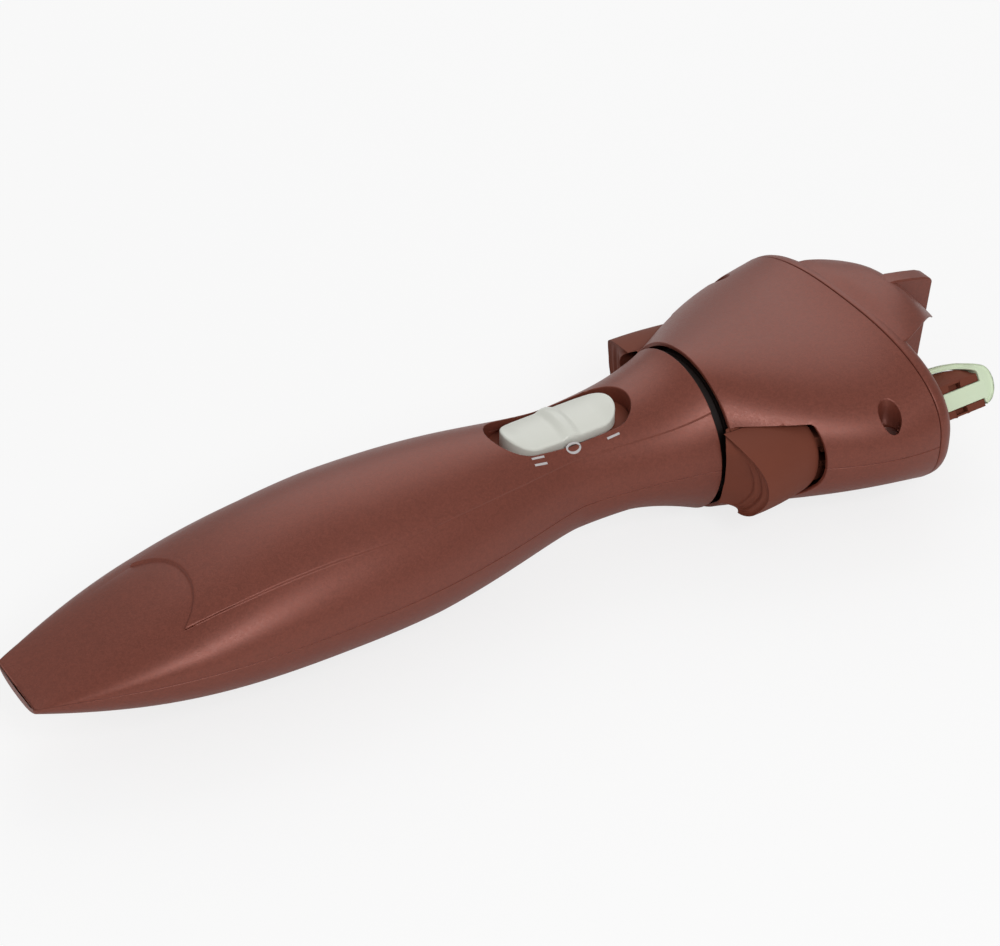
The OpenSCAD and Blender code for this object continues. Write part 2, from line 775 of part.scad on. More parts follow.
module gear_a() {
    compound(gear_a_teeth, stage1_x, meshed(0, small_teeth, 90, gear_a_teeth), stage2_x, 0, 2, 0, gear_a_z);
}

module gear_b() {
    turn = meshed(0, small_teeth, dir_ab, gear_b_teeth);
    compound(gear_b_teeth, stage2_x, turn, stage3_x, 0, 2.2, gear_b_y, gear_b_z);
}

module output_gear() {
    turn = meshed(0, small_teeth, dir_bc, output_teeth);
    color("#e6e2d2") gear(output_teeth, stage3_x, gear_w, sleeve_r, turn);
}

module clutch_sleeve() {
    color(steel) tube(mid_plate_x, front_plate_end, sleeve_r, shaft_r + run_gap);
}

module main_shaft() {
    color(steel) bar(mid_plate_x + 0.3, bearing_x + bearing_t, shaft_r);
}

// ---- Neck ----

function seat_r(x) = min(half_w(x), top_z(x), bottom_z(x)) - wall - fit;

module neck_tube() {
    front_wall = 2;
    color(dark) difference() {
        bar(front_plate_end, neck_end, neck_r);
        bar(front_plate_end - 1, neck_end - front_wall, neck_bore);
        bar(neck_end - front_wall - 1, neck_end + 1, shaft_r + run_gap);
        tube(clip_x, clip_x + clip_t, neck_r + 1, neck_r - clip_groove);
    }
}

module neck_collar() {
    color(dark) difference() {
        union() {
            bar(front_plate_end, ring_x, seat_r(front_plate_end));
            bar(ring_x, head_x + 0.2, collar_r);
        }
        bar(front_plate_end - 1, head_x + 1, neck_r);
    }
}

module retaining_ring() {
    color(steel) tube(clip_x, clip_x + clip_t, neck_r + 2, neck_r - clip_groove);
}

// ---- Head ----

function head_grid(from, inset) = [for (x = head_rows) [for (a = half_turn) head_point(x, a + from, inset)]];
function head_outline(x, inset) = [for (a = concat(half_turn, [for (i = [1:17]) half_turn[i] + 180]))
    let (p = head_point(x, a, inset)) [p[1], p[2]]];
function head_ring(x, inset, at) = [for (p = head_outline(at, inset)) [x, p[0], p[1]]];

module head_half(from) {
    keep = function (i, j) !(i < window_rows && (j < 3 || j >= 15));
    sheet(head_grid(from, 0), head_grid(from, wall), keep);
}

// A solid slice of the head around the screw wells, set in from the skin
module head_core(inset) {
    loft([for (x = [well_x - 6, well_x, well_x + 6]) head_ring(x, inset, x)]);
}

module well_pair(from, end, r) {
    for (y = [-well_y, well_y]) post(from, end, r, well_x, y);
}

// The part of both side windows between two heights, wide enough for the levers
module window_cut(from, end) {
    for (s = [0, 1]) mirror([0, s, 0])
        block([head_x - 1, window_y, from], [window_end + 0.05, head_front_w + 1, end]);
}

module head_upper_shell() {
    color(brown) difference() {
        union() {
            head_half(0);
            intersection() {
                head_core(0.7);
                well_pair(boss_top, 12, well_d / 2 + well_wall);
            }
        }
        well_pair(well_floor, 20, well_d / 2);
        well_pair(0, 5, screw_d / 2);
        window_cut(-1, window_half_z);
    }
}

module head_lower_shell() {
    color(brown) difference() {
        union() {
            head_half(180);
            intersection() {
                head_core(0.7);
                well_pair(-12, boss_top, boss_r);
            }
            stadium(32, 16, -foot_z, foot_z - 17, head_x + 24.4);
        }
        well_pair(-6, 5, screw_d / 2);
        window_cut(-window_half_z, 1);
    }
}

module head_screws() {
    color(steel) {
        well_pair(well_floor, well_floor + screw_head_h, screw_head_d / 2);
        well_pair(-5.5, well_floor, screw_d / 2);
    }
}

module head_rear_plate() {
    color(dark) tube(head_plate_x, head_plate_x + head_plate_t, head_rear_h - wall - 0.2, neck_r + run_gap);
}

module gear_frame_plate() {
    limit = well_y - well_d / 2 - well_wall - 0.2;
    color(steel) difference() {
        intersection() {
            along(frame_x, frame_x + frame_t) polygon(head_outline(frame_x, wall + 2 * fit));
            block([frame_x - 1, -limit, -30], [frame_x + 5, limit, 30]);
        }
        bar(frame_x - 1, frame_x + 5, shaft_r + run_gap);
        for (s = [-1, 1]) {
            bar(frame_x - 1, frame_x + 5, arbor_r, s * sun_dist);
            bar(frame_x - 1, frame_x + 5, bush_r, s * hook_y);
        }
    }
}

module front_bearing_plate() {
    end = bearing_x + bearing_t;
    color(steel) difference() {
        along(bearing_x, end) polygon(head_outline(bearing_x, wall + 2 * fit));
        bar(bearing_x - 1, end + 1, shaft_r + run_gap);
        for (s = [-1, 1]) {
            bar(bearing_x - 1, end + 1, arbor_r, s * sun_dist);
            bar(bearing_x - 1, end + 1, spindle_r + run_gap, s * hook_y);
        }
    }
}

module idler_pins() {
    color(steel) for (s = [-1, 1]) bar(frame_x, bearing_x + bearing_t, arbor_r, s * sun_dist);
}

module sun_gear() {
    color("#e6e2d2") gear(hook_teeth, hook_gear_x, hook_gear_w, shaft_r);
}

idler_turn = meshed(0, hook_teeth, 0, idler_teeth);

module idler_gear(side) {
    color("#e6e2d2") on_side(side)
        gear(idler_teeth, hook_gear_x, hook_gear_w, arbor_r + run_gap, idler_turn, sun_dist);
}

module idler_gear_left() idler_gear(1);
module idler_gear_right() idler_gear(-1);

module hook_gear(side) {
    turn = meshed(idler_turn, idler_teeth, 0, hook_teeth);
    color("#e6e2d2") on_side(side) gear(hook_teeth, hook_gear_x, hook_gear_w, spindle_r, turn, hook_y);
}

module hook_gear_left() hook_gear(1);
module hook_gear_right() hook_gear(-1);

module hook_bushes() {
    flange_t = 0.8;
    color(brass) for (s = [-1, 1]) {
        tube(frame_x - 0.4, frame_x + frame_t + 0.4, bush_r, spindle_r + run_gap, s * hook_y);
        tube(nose_x - cap_wall, nose_x + flange_t, bush_r, spindle_r + run_gap, s * hook_y);
        tube(nose_x, nose_x + flange_t, bush_r + 0.9, bush_r - 0.2, s * hook_y);
    }
}

// ---- Nose ----

// Stations of a roof: distance in front of the nose cap, place across and height of its free
// edge, and its height beside the fin
roof_stations = [
    [-3.2, 20.4, 17.4, 19.3], [-1, 20.2, 17.8, 20.2], [3.6, 18.2, 17.8, 20.55],
    [7.2, 16.3, 17.6, 20.6], [10.2, 14.5, 16.8, 20.3], [15.5, 10.6, 14.1, 14.5],
    [21.1, 4.6, 8.1, 8.4], [roof_reach, fin_t / 2 + 0.5, 6, 6.1]
];
roof_crown = 0.6;
roof_level = 15;
roof_t = 2;

// A point of the roof: u is 0 at its free edge and 1 beside the fin
function roof_point(station, u, down) = let (
    d = station[0],
    edge = [station[1], station[2]],
    top = [fin_t / 2, station[3]],
    p = edge + (top - edge) * u,
    crown = roof_crown * 4 * u * (1 - u) * max(0, 1 - max(0, d) / roof_level)
) [nose_x + d, p[0], p[1] + crown - down];

module roof() {
    sheet([for (s = roof_stations) [for (u = [0, 0.5, 1]) roof_point(s, u, 0)]],
          [for (s = roof_stations) [for (u = [0, 0.5, 1]) roof_point(s, u, roof_t)]]);
}

module nose_cap() {
    round_r = 3.2;
    color(brown) difference() {
        union() {
            loft([
                head_ring(seam_x, 0, seam_x),
                head_ring(nose_x - round_r, 0, seam_x),
                head_ring(nose_x - 0.44 * round_r, 0.13 * round_r, seam_x),
                head_ring(nose_x - 0.1 * round_r, 0.56 * round_r, seam_x),
                head_ring(nose_x, round_r, seam_x)
            ]);
            for (a = [0, 1], b = [0, 1]) mirror([0, a, 0]) mirror([0, 0, b]) roof();
        }
        along(seam_x - 1, nose_x - cap_wall) polygon(head_outline(seam_x, wall));
        for (s = [-1, 1]) bar(seam_x, nose_x + 1, bush_r, s * hook_y);
    }
}

// Half the outline of the fin: distance in front of the nose cap, and height
fin_stations = [[0, 20.4], [0.37, 20.5], [0.92, 17.7], [0.955, 17], [0.887, 0]];

module separator_fin() {
    half = [for (p = fin_stations) [nose_x + p[0] * roof_reach, p[1]]];
    lower = [for (i = [3:-1:0]) [half[i][0], -half[i][1]]];
    color(brown) across(-fin_t / 2, fin_t / 2) polygon(concat(half, lower));
}

// ---- Hooks: drawn about the hook's own axis, y out of its face and z across it ----

module hook_frame(side) {
    on_side(side) translate([0, hook_y, 0]) rotate([hook_tilt, 0, 0]) children();
}

module hook_spindle(side) {
    color(steel) on_side(side) tube(spindle_x, block_x, spindle_r, rod_r + run_gap, hook_y);
}

module hook_spindle_left() hook_spindle(1);
module hook_spindle_right() hook_spindle(-1);

// A shape drawn in x and z, with its thickness from y = from to y = end
module across(from, end) {
    translate([0, end, 0]) rotate([90, 0, 0]) linear_extrude(end - from) children();
}

// Outer line of the flared side, from the nose cap to the tip: distance and height
flare_line = [[3, 8.5], [7, 8.6], [12, 8.2], [16, 6.9], [18.6, 5.7], [20.3, 4.3]];

module hook_block(side) {
    half = block_w / 2;
    prong_face = strap_face - 0.4;
    slot_half = strap_w / 2 + fit;
    slot_floor = strap_face - strap_t - fit;
    gap = strap_t + 4 * fit;
    flare = [for (p = flare_line) if (nose_x + p[0] < block_end) [nose_x + p[0], p[1] - gap]];
    last = flare_line[4];
    color(brown_dark) hook_frame(side) difference() {
        union() {
            block([block_x, block_back, -half], [block_end, prong_face, half]);
            across(block_back, 0.4) polygon(concat([[block_x, 0]], [[block_x, flare[0][1] - 0.1]], flare,
                [[block_end, last[1] - gap], [block_end, 0]]));
        }
        bar(block_x - 1, block_end + 1, rod_r + run_gap);
        block([block_x - 1, slot_floor, -slot_half], [block_end + 1, strap_face + 1, slot_half]);
        for (s = [0, 1]) mirror([0, 0, s])
            block([nose_x + 7.4, 1.8, slot_half - 0.1], [nose_x + 11, strap_face + 1, slot_half + 1.3]);
    }
}

module hook_block_left() hook_block(1);
module hook_block_right() hook_block(-1);

module hook_gripper(side) {
    half = block_w / 2;
    cap_x = block_end + fit;
    round_r = 1.4;
    color(mint) hook_frame(side) {
        bar(rod_x - 0.1, cap_x + 1, rod_r);
        tube(fork_x - fit - collar_t, fork_x - fit, rod_collar_r, rod_r - 0.2);
        tube(fork_x + fork_t + fit, fork_x + fork_t + fit + collar_t, rod_collar_r, rod_r - 0.2);
        translate([0, 0, -half]) linear_extrude(block_w + 0.2) {
            translate([cap_x, block_back]) square([strap_end - cap_x - round_r, strap_face - block_back]);
            translate([cap_x, block_back + round_r])
                square([strap_end - cap_x, strap_face - block_back - 2 * round_r]);
            for (y = [block_back + round_r, strap_face - round_r])
                translate([strap_end - round_r, y]) circle(round_r);
        }
        block([nose_x + 4, strap_face - strap_t, -strap_w / 2], [cap_x + 1, strap_face, strap_w / 2]);
        across(block_back, 1.2) polygon(concat(
            [for (p = flare_line) [nose_x + p[0], p[1]]],
            [for (i = [5:-1:0]) [nose_x + flare_line[i][0], flare_line[i][1] - strap_t]]
        ));
    }
}

module hook_gripper_left() hook_gripper(1);
module hook_gripper_right() hook_gripper(-1);

// ---- Levers ----

function crest(z) = [crest_x - 0.0275 * pow(z + 1.6, 2), crest_y - 5.4 * pow(abs(z + 0.8) / 11, 2.4)];
function lever_front(z) = lever_front_y - 5.4 * pow(abs(z) / lever_half_h, 2.6);
function lever_inner(z) = z < 0 ? sqrt(lever_in_r * lever_in_r - z * z) : lever_in_r + 0.1 * z;
function lever_ring(z, front, deep) = let (
    c = crest(z),
    inner = [head_x - 3.3 - 0.134 * z, lever_inner(z)],
    y = c[1] + (lever_front(z) - c[1]) * (front - c[0]) / (window_end + 0.3 - c[0])
) [
    [inner[0], inner[1], z], [front, min(y - 0.8, inner[1] + deep), z], [front, y, z], [c[0], c[1], z],
    [(2 * c[0] + inner[0]) / 3 + 0.9, (2 * c[1] + inner[1]) / 3, z],
    [(c[0] + 2 * inner[0]) / 3 + 0.9, (c[1] + 2 * inner[1]) / 3, z]
];

module lever(side) {
    body = [for (i = [-6:6]) lever_half_h * i / 6];
    horn = [lever_half_h + 0.15, (lever_half_h + horn_top) / 2, horn_top - 0.3];
    color(brown_dark) on_side(side) difference() {
        union() {
            loft(concat([for (z = body) lever_ring(z, window_end + 0.3, 3)],
                [for (z = horn) lever_ring(z, head_x - 0.4, 0.4)]));
            for (z = [-web_z - web_h, web_z])
                block([window_end - 1.5, web_y, z], [fork_x + fork_t, arm_y[1], z + web_h]);
            block([fork_x, arm_y[0], -web_z - web_h], [fork_x + fork_t, arm_y[1], web_z + web_h]);
        }
        bar(fork_x - 1, fork_x + fork_t + 1, rod_r + run_gap, hook_y);
    }
}

module lever_left() lever(1);
module lever_right() lever(-1);

module lever_spring(side) {
    from = fork_x + fork_t;
    length = frame_x - from;
    color(steel) on_side(side) coil(from, length, spring_turns, spring_coil, spring_wire, spring_y, 0);
}

module lever_spring_left() lever_spring(1);
module lever_spring_right() lever_spring(-1);

place() handle_upper_shell();
place() handle_lower_shell();
place() battery_door();
place() battery_cell_left();
place() battery_cell_right();
place() battery_cradle();
place() contact_springs();
place() contact_plates();
place() power_leads();
place() switch_button();
place() switch_carriage();
place() switch_guide();
place() slide_switch_body();
place() circuit_board();
place() motor_can();
place() motor_end_cap();
place() motor_shaft();
place() motor_core();
place() motor_pinion();
place() gearbox_rear_plate();
place() gearbox_mid_plate();
place() gearbox_front_plate();
place() gearbox_posts();
place() gear_arbors();
place() gear_a();
place() gear_b();
place() output_gear();
place() clutch_sleeve();
place() main_shaft();
place() sun_gear();
place() neck_tube();
place() neck_collar();
place() retaining_ring();
place() head_rear_plate();
place() head_upper_shell();
place() head_lower_shell();
place() nose_cap();
place() separator_fin();
place() gear_frame_plate();
place() front_bearing_plate();
place() hook_bushes();
place() idler_pins();
place() idler_gear_left();
place() idler_gear_right();
place() hook_gear_left();
place() hook_gear_right();
place() hook_spindle_left();
place() hook_spindle_right();
place() hook_block_left();
place() hook_block_right();
place() hook_gripper_left();
place() hook_gripper_right();
place() lever_left();
place() lever_right();
place() lever_spring_left();
place() lever_spring_right();
place() handle_screws();
place() head_screws();
place() gearbox_screws();
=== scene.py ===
"""Looks of an automatic hair braider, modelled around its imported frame.

Shapes are worked out in millimetres with X forward from the butt of the handle and the turning axis of the head at
y = 0, z = 0, and in_frame() puts them where the frame's own pieces are. "Left" is the side of positive y.
"""

import json
import math

import bmesh
import bpy
import numpy as np
from bpy.props import FloatProperty, FloatVectorProperty, PointerProperty
from mathutils import Matrix, Vector


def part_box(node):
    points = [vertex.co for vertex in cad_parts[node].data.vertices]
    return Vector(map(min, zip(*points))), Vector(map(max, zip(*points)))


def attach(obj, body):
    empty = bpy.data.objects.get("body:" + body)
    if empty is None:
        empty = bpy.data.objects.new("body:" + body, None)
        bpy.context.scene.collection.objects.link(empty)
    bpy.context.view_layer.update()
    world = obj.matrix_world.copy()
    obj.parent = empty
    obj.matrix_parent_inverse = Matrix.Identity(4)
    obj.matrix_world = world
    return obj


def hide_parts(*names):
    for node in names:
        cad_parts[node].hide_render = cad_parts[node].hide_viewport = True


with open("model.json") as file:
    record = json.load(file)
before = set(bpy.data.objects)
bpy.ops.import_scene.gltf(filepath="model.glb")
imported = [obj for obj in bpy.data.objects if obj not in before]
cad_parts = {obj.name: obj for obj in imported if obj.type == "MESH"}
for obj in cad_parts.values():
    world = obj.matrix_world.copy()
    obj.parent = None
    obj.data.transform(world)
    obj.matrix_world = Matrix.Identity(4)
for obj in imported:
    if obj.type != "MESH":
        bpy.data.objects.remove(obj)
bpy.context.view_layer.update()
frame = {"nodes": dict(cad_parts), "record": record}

bl_info = {
    "name": "Hair Braider",
    "version": (1, 0, 0),
    "blender": (4, 5, 0),
    "location": "View3D > Sidebar > Braider",
    "description": "Skins, straps, switch and finishes of an automatic hair braider",
    "category": "Object",
}

# ---- Sizes from the frame ----

MM = 0.001
BUTT_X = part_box("handle_upper_shell")[0][0]
AXIS_Z = sum(corner[2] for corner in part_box("neck_tube")) / 2


def span(node):
    """Lowest and highest corner of a node in millimetres about the butt and the turning axis."""
    return [np.array([c[0] - BUTT_X, c[1], c[2] - AXIS_Z]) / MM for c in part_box(node)]


def in_frame(points):
    """Points in millimetres about the butt and the axis, as points of the frame in metres."""
    return np.asarray(points, float) * MM + (BUTT_X, 0, AXIS_Z)


RING_X = span("handle_upper_shell")[1][0]
GRIP_HALF_W = span("handle_upper_shell")[1][1]
HEAD_X, SEAM_X = (corner[0] for corner in span("head_upper_shell"))
HEAD_FRONT_W = span("head_upper_shell")[1][1]
TIP_X = span("nose_cap")[1][0]
FOOT_Z = span("head_lower_shell")[0][2]
BUTTON_LOW, BUTTON_HIGH = span("switch_button")
SLOT_X = (BUTTON_LOW[0] + BUTTON_HIGH[0]) / 2
HEAD_LEN = SEAM_X - HEAD_X
CAP_LEN = 4.4
CAP_ROUND = 3.2
NOSE_X = SEAM_X + CAP_LEN
ROOF_REACH = TIP_X - NOSE_X
RING_R = 19.8
WALL = 2.0
GAP = 0.12
HOOK_Y = 26.0
HOOK_TILT = math.radians(35)


# ---- Form of the handle and head ----

def ease(x, low, high):
    """0 below low, 1 above high and the smooth cubic 3s² - 2s³ between them."""
    s = np.clip((np.asarray(x, float) - low) / (high - low), 0, 1)
    return s * s * (3 - 2 * s)


def swell(x, butt, grip, waist, grip_x, waist_x, powers):
    """A half size that rises from the butt to the grip as 1 - (1 - x/grip_x)^a raised to b, falls to the waist as
    1 - s^c raised to d, and opens to the ring as s^e."""
    a, b, c, d, e = powers
    rise = butt + (grip - butt) * (1 - np.clip(1 - x / grip_x, 0, 1) ** a) ** b
    fall = waist + (grip - waist) * (1 - np.clip((x - grip_x) / (waist_x - grip_x), 0, 1) ** c) ** d
    flare = waist + (RING_R - waist) * (np.clip(x - waist_x, 0, None) / (RING_X - waist_x)) ** e
    return np.where(x <= grip_x, rise, np.where(x <= waist_x, fall, flare))


def half_width(x):
    """Half the width of the handle."""
    return swell(x, butt=9.1, grip=GRIP_HALF_W, waist=13.9, grip_x=0.42 * RING_X, waist_x=RING_X - 34,
                 powers=(2.5, 1.05, 2.4, 1.4, 1.5))


def top_height(x):
    """Height of the handle's top line above the axis."""
    return swell(x, butt=-0.8, grip=19.1, waist=15.8, grip_x=0.485 * RING_X, waist_x=RING_X - 23,
                 powers=(1.74, 1.1, 3.3, 4, 3))


def bottom_depth(x):
    """Depth of the handle's bottom line below the axis."""
    return swell(x, butt=3.9, grip=17.2, waist=12.3, grip_x=0.555 * RING_X, waist_x=RING_X - 20,
                 powers=(2.28, 0.89, 1.2, 1.46, 1.4))


BUTT_SEAM_DROP, BUTT_SEAM_LEN = 0.9, 22
BUTT_SQUARE, BUTT_SQUARE_FADE = 0.10, (20, 75)


def seam_height(x):
    """Height of the seam between the handle's halves, which sinks towards the butt as the square of the way."""
    return -BUTT_SEAM_DROP * np.clip(1 - x / BUTT_SEAM_LEN, 0, None) ** 2


def signed_power(v, p):
    """v raised to p with its sign kept."""
    return np.sign(v) * np.abs(v) ** p


def handle_skin(x, a, inset=0.0, shrink=1.0):
    """Point of the handle's skin: a half ellipse above and below the seam, a little squarer near the butt, at angle
    a from +y. inset moves it inwards, shrink draws it towards the middle of the seam, and both halves stay GAP off
    the seam."""
    up = np.sin(a) >= 0
    seam = seam_height(x)
    p = 1 - BUTT_SQUARE * (1 - ease(x, *BUTT_SQUARE_FADE))
    reach = np.where(up, top_height(x) - seam, bottom_depth(x) + seam) - inset
    y = (half_width(x) - inset) * signed_power(np.cos(a), p) * shrink
    z = seam + signed_power(np.sin(a), p) * reach * shrink + np.where(up, GAP, -GAP) * (1 - np.abs(np.sin(a)))
    return np.stack([x + 0 * a, y, z], -1)


CREASE = math.radians(43)
TONGUE_X = 41.0
TONGUE_R = 17.3
TONGUE_HALF_W = 13.9
PANEL_STEP, PANEL_STEP_MID = 0.6, 0.42
STEP_FADE_BACK, STEP_FADE_FRONT = 12, 16
BEND_REACH = 29
CREASE_LIFT = math.radians(9)
CREASE_LEVEL_X = 95


def tongue_warp(u, a):
    """Distance along X by which row u is bent at angle a, so that the row at TONGUE_X follows the round end of the
    butt's tongue, a circle of TONGUE_R, and rows further off run straight again."""
    side = np.minimum(a, math.pi - a)
    y = TONGUE_HALF_W * np.clip(np.cos(side) / math.cos(CREASE), 0, 1)
    bend = (np.sqrt(TONGUE_R ** 2 - y ** 2) - TONGUE_R) * ease(side, 0, CREASE)
    nearness = 0.5 + 0.5 * np.cos(math.pi * np.clip((u - TONGUE_X) / BEND_REACH, -1, 1))
    return bend * nearness


def lifted(u, a):
    """Angle at which the point of row u and column a lies: the crease lies higher on the section by CREASE_LIFT at
    the tongue, and less so towards the butt and the middle of the grip."""
    side = np.minimum(a, math.pi - a)
    lift = CREASE_LIFT * ease(u, 0, TONGUE_X) * (1 - ease(u, TONGUE_X, CREASE_LEVEL_X))
    share = np.minimum(side / CREASE, (math.pi / 2 - side) / (math.pi / 2 - CREASE))
    return a + lift * share * np.where(a <= math.pi / 2, 1, -1)


def panel_drop(u, a):
    """Depth of the skin beside the raised top panel: full along the tongue and the crease, and fading towards the
    seam, the butt and the middle of the grip."""
    side = np.minimum(a, math.pi - a)
    panel = ease(u, TONGUE_X - 0.2, TONGUE_X + 0.25) * ease(side, CREASE - 0.018, CREASE + 0.006)
    back = np.exp(-np.clip(TONGUE_X - u, 0, None) / STEP_FADE_BACK)
    front = PANEL_STEP_MID + (1 - PANEL_STEP_MID) * np.exp(-np.clip(u - TONGUE_X, 0, None) / STEP_FADE_FRONT)
    along = PANEL_STEP * np.where(u < TONGUE_X, back, front)
    return (1 - panel) * along * np.clip(side / CREASE, 0, 1) ** 1.6


HEAD_REAR_W, HEAD_REAR_H = 21.1, 20.2


def head_sizes(x):
    """Half width, half height and corner power of the head's section at x. With t from 0 at the ring to 1 at the
    nose, the width grows as 1 - (1 - t)² raised to 1.1, and the height dips by 3.5 t (1 - t⁴) on the way."""
    t = np.clip((x - HEAD_X) / HEAD_LEN, 0, 1)
    width = HEAD_REAR_W + (HEAD_FRONT_W - HEAD_REAR_W) * (1 - (1 - t) ** 2) ** 1.1
    height = HEAD_REAR_H - 0.4 * t - 3.5 * t * (1 - t ** 4)
    return width, height, 2 / (2 + 0.45 * t)


def head_skin(x, a, inset=0.0, gap=GAP):
    """Point of the head's skin: a superellipse that widens from the ring to the nose, at angle a from +y."""
    width, height, p = head_sizes(x)
    y = (width - inset) * signed_power(np.cos(a), p)
    z = (height - inset) * signed_power(np.sin(a), p)
    return np.stack([x + 0 * a, y, z + np.where(np.sin(a) >= 0, gap, -gap) * (1 - np.abs(np.sin(a)))], -1)


# ---- Mesh builders ----

def grid_faces(rows, cols, across=False, start=0):
    """Quads between neighbouring points of a rows by cols grid; across also joins the last column to the first."""
    index = np.arange(rows * cols).reshape(rows, cols) + start
    if across:
        index = np.concatenate([index, index[:, :1]], 1)
    corners = [index[:-1, :-1], index[1:, :-1], index[1:, 1:], index[:-1, 1:]]
    return np.stack(corners, -1).reshape(-1, 4)


def fill_mesh(mesh, points, faces):
    """Puts points, and arrays of faces with any number of corners, into a mesh."""
    corners = np.concatenate([f.ravel() for f in faces]).astype(np.int32)
    sizes = np.concatenate([np.full(len(f), f.shape[1]) for f in faces])
    starts = np.concatenate([[0], np.cumsum(sizes)[:-1]]).astype(np.int32)
    mesh.vertices.add(len(points))
    mesh.vertices.foreach_set("co", in_frame(points).ravel().astype(np.float32))
    mesh.loops.add(len(corners))
    mesh.loops.foreach_set("vertex_index", corners)
    mesh.polygons.add(len(sizes))
    mesh.polygons.foreach_set("loop_start", starts)
    mesh.update(calc_edges=True)
    mesh.validate()


def close_up(mesh, weld=2e-7):
    """Merges points that coincide, drops what then has no area, and turns all faces outwards."""
    work = bmesh.new()
    work.from_mesh(mesh)
    bmesh.ops.remove_doubles(work, verts=work.verts, dist=weld)
    bmesh.ops.dissolve_degenerate(work, edges=work.edges, dist=weld)
    bmesh.ops.recalc_face_normals(work, faces=work.faces)
    work.to_mesh(mesh)
    work.free()


def add_piece(name, parts, body, material, nodes=(), bevel=0.0, angle=40, segments=2):
    """One piece from parts, a list of (points, faces): welded, smooth, with edges sharper than angle degrees
    rounded to bevel millimetres, riding on its body and standing for the nodes it replaces."""
    points, faces, start = [], [], 0
    for part_points, part_faces in parts:
        flat = np.asarray(part_points, float).reshape(-1, 3)
        points.append(flat)
        faces += [f + start for f in part_faces]
        start += len(flat)
    mesh = bpy.data.meshes.new(name)
    fill_mesh(mesh, np.concatenate(points), faces)
    close_up(mesh)
    mesh.polygons.foreach_set("use_smooth", np.ones(len(mesh.polygons), bool))
    mesh.set_sharp_from_angle(angle=math.radians(angle + 12))
    piece = bpy.data.objects.new(name, mesh)
    bpy.context.scene.collection.objects.link(piece)
    piece.data.materials.append(material)
    if bevel:
        rounding = piece.modifiers.new("edges", "BEVEL")
        rounding.width = bevel * MM
        rounding.segments = segments
        rounding.limit_method = "ANGLE"
        rounding.angle_limit = math.radians(angle)
        rounding.use_clamp_overlap = False
    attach(piece, body)
    if nodes:
        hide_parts(*nodes)
    return piece


def walled(outer, inner, keep):
    """A closed wall between two grids of points: quads on both skins for every kept cell, and a strip across the
    thickness along each edge where a kept cell meets none."""
    rows, cols = outer.shape[:2]
    skin = grid_faces(rows, cols).reshape(rows - 1, cols - 1, 4)
    back = skin + rows * cols
    faces = [skin[keep], back[keep][:, ::-1]]
    padded = np.pad(keep, 1)
    for (down, right), (a, b) in {(-1, 0): (0, 3), (1, 0): (2, 1), (0, -1): (1, 0), (0, 1): (3, 2)}.items():
        beside = padded[1 + down:rows + down, 1 + right:cols + right]
        edge = keep & ~beside
        faces.append(np.stack([skin[edge][:, a], skin[edge][:, b], back[edge][:, b], back[edge][:, a]], -1))
    return np.concatenate([outer.reshape(-1, 3), inner.reshape(-1, 3)]), faces


def cut_opening(points, distance, plane):
    """Opens a grid of points where distance, a function of two coordinates that is negative inside the opening, is
    negative: the points beside it slide on the surface on to its edge. Gives the new points, the cells that stay
    and the points on the edge. plane names the two coordinates."""
    i, j = plane
    third = 3 - i - j
    du, dv = np.gradient(points, axis=0), np.gradient(points, axis=1)
    normal = np.cross(du, dv)
    d = distance(points[..., i], points[..., j])
    middle = (d[:-1, :-1] + d[1:, :-1] + d[1:, 1:] + d[:-1, 1:]) / 4
    keep = middle > 0
    kept, dropped = np.zeros(d.shape, bool), np.zeros(d.shape, bool)
    for rows in (slice(None, -1), slice(1, None)):
        for cols in (slice(None, -1), slice(1, None)):
            kept[rows, cols] |= keep
            dropped[rows, cols] |= ~keep
    edge = kept & dropped
    moved = points[edge]
    normal = normal[edge]
    step = 1e-3
    for _ in range(3):
        p, q = moved[:, i], moved[:, j]
        here = distance(p, q)
        slope_i = (distance(p + step, q) - distance(p - step, q)) / (2 * step)
        slope_j = (distance(p, q + step) - distance(p, q - step)) / (2 * step)
        size = np.maximum(slope_i ** 2 + slope_j ** 2, 0.2)
        move_i, move_j = -here * slope_i / size, -here * slope_j / size
        moved[:, i] += move_i
        moved[:, j] += move_j
        moved[:, third] -= (normal[:, i] * move_i + normal[:, j] * move_j) / normal[:, third]
    points = points.copy()
    points[edge] = moved
    return points, keep, edge


def prism(outline, low, high, axis=2):
    """A solid with a flat outline, between low and high along an axis; the outline's coordinates are the other two
    axes in order."""
    outline = np.asarray(outline, float)
    n = len(outline)
    others = [k for k in range(3) if k != axis]
    points = np.zeros((2, n, 3))
    points[..., others] = outline
    points[0, :, axis] = low
    points[1, :, axis] = high
    side = grid_faces(2, n, across=True)
    return points, [side, np.arange(n)[None, ::-1], np.arange(n, 2 * n)[None]]


def loop_solid(rings, cap_first=True, cap_last=True):
    """A solid through closed rings of points, an array of rings by corners by 3, with a flat face at each end."""
    count, n = rings.shape[:2]
    faces = [grid_faces(count, n, across=True)]
    if cap_first:
        faces.append(np.arange(n)[None, ::-1])
    if cap_last:
        faces.append(np.arange((count - 1) * n, count * n)[None])
    return rings, faces


def stadium_loop(length, width, count=24):
    """Corners of a stadium about the origin: two half circles of count steps joined by straight sides."""
    turn = np.linspace(-math.pi / 2, math.pi / 2, count + 1)
    x = (length - width) / 2 + width / 2 * np.cos(turn)
    y = width / 2 * np.sin(turn)
    return np.concatenate([np.stack([x, y], -1), np.stack([-x, -y], -1)])


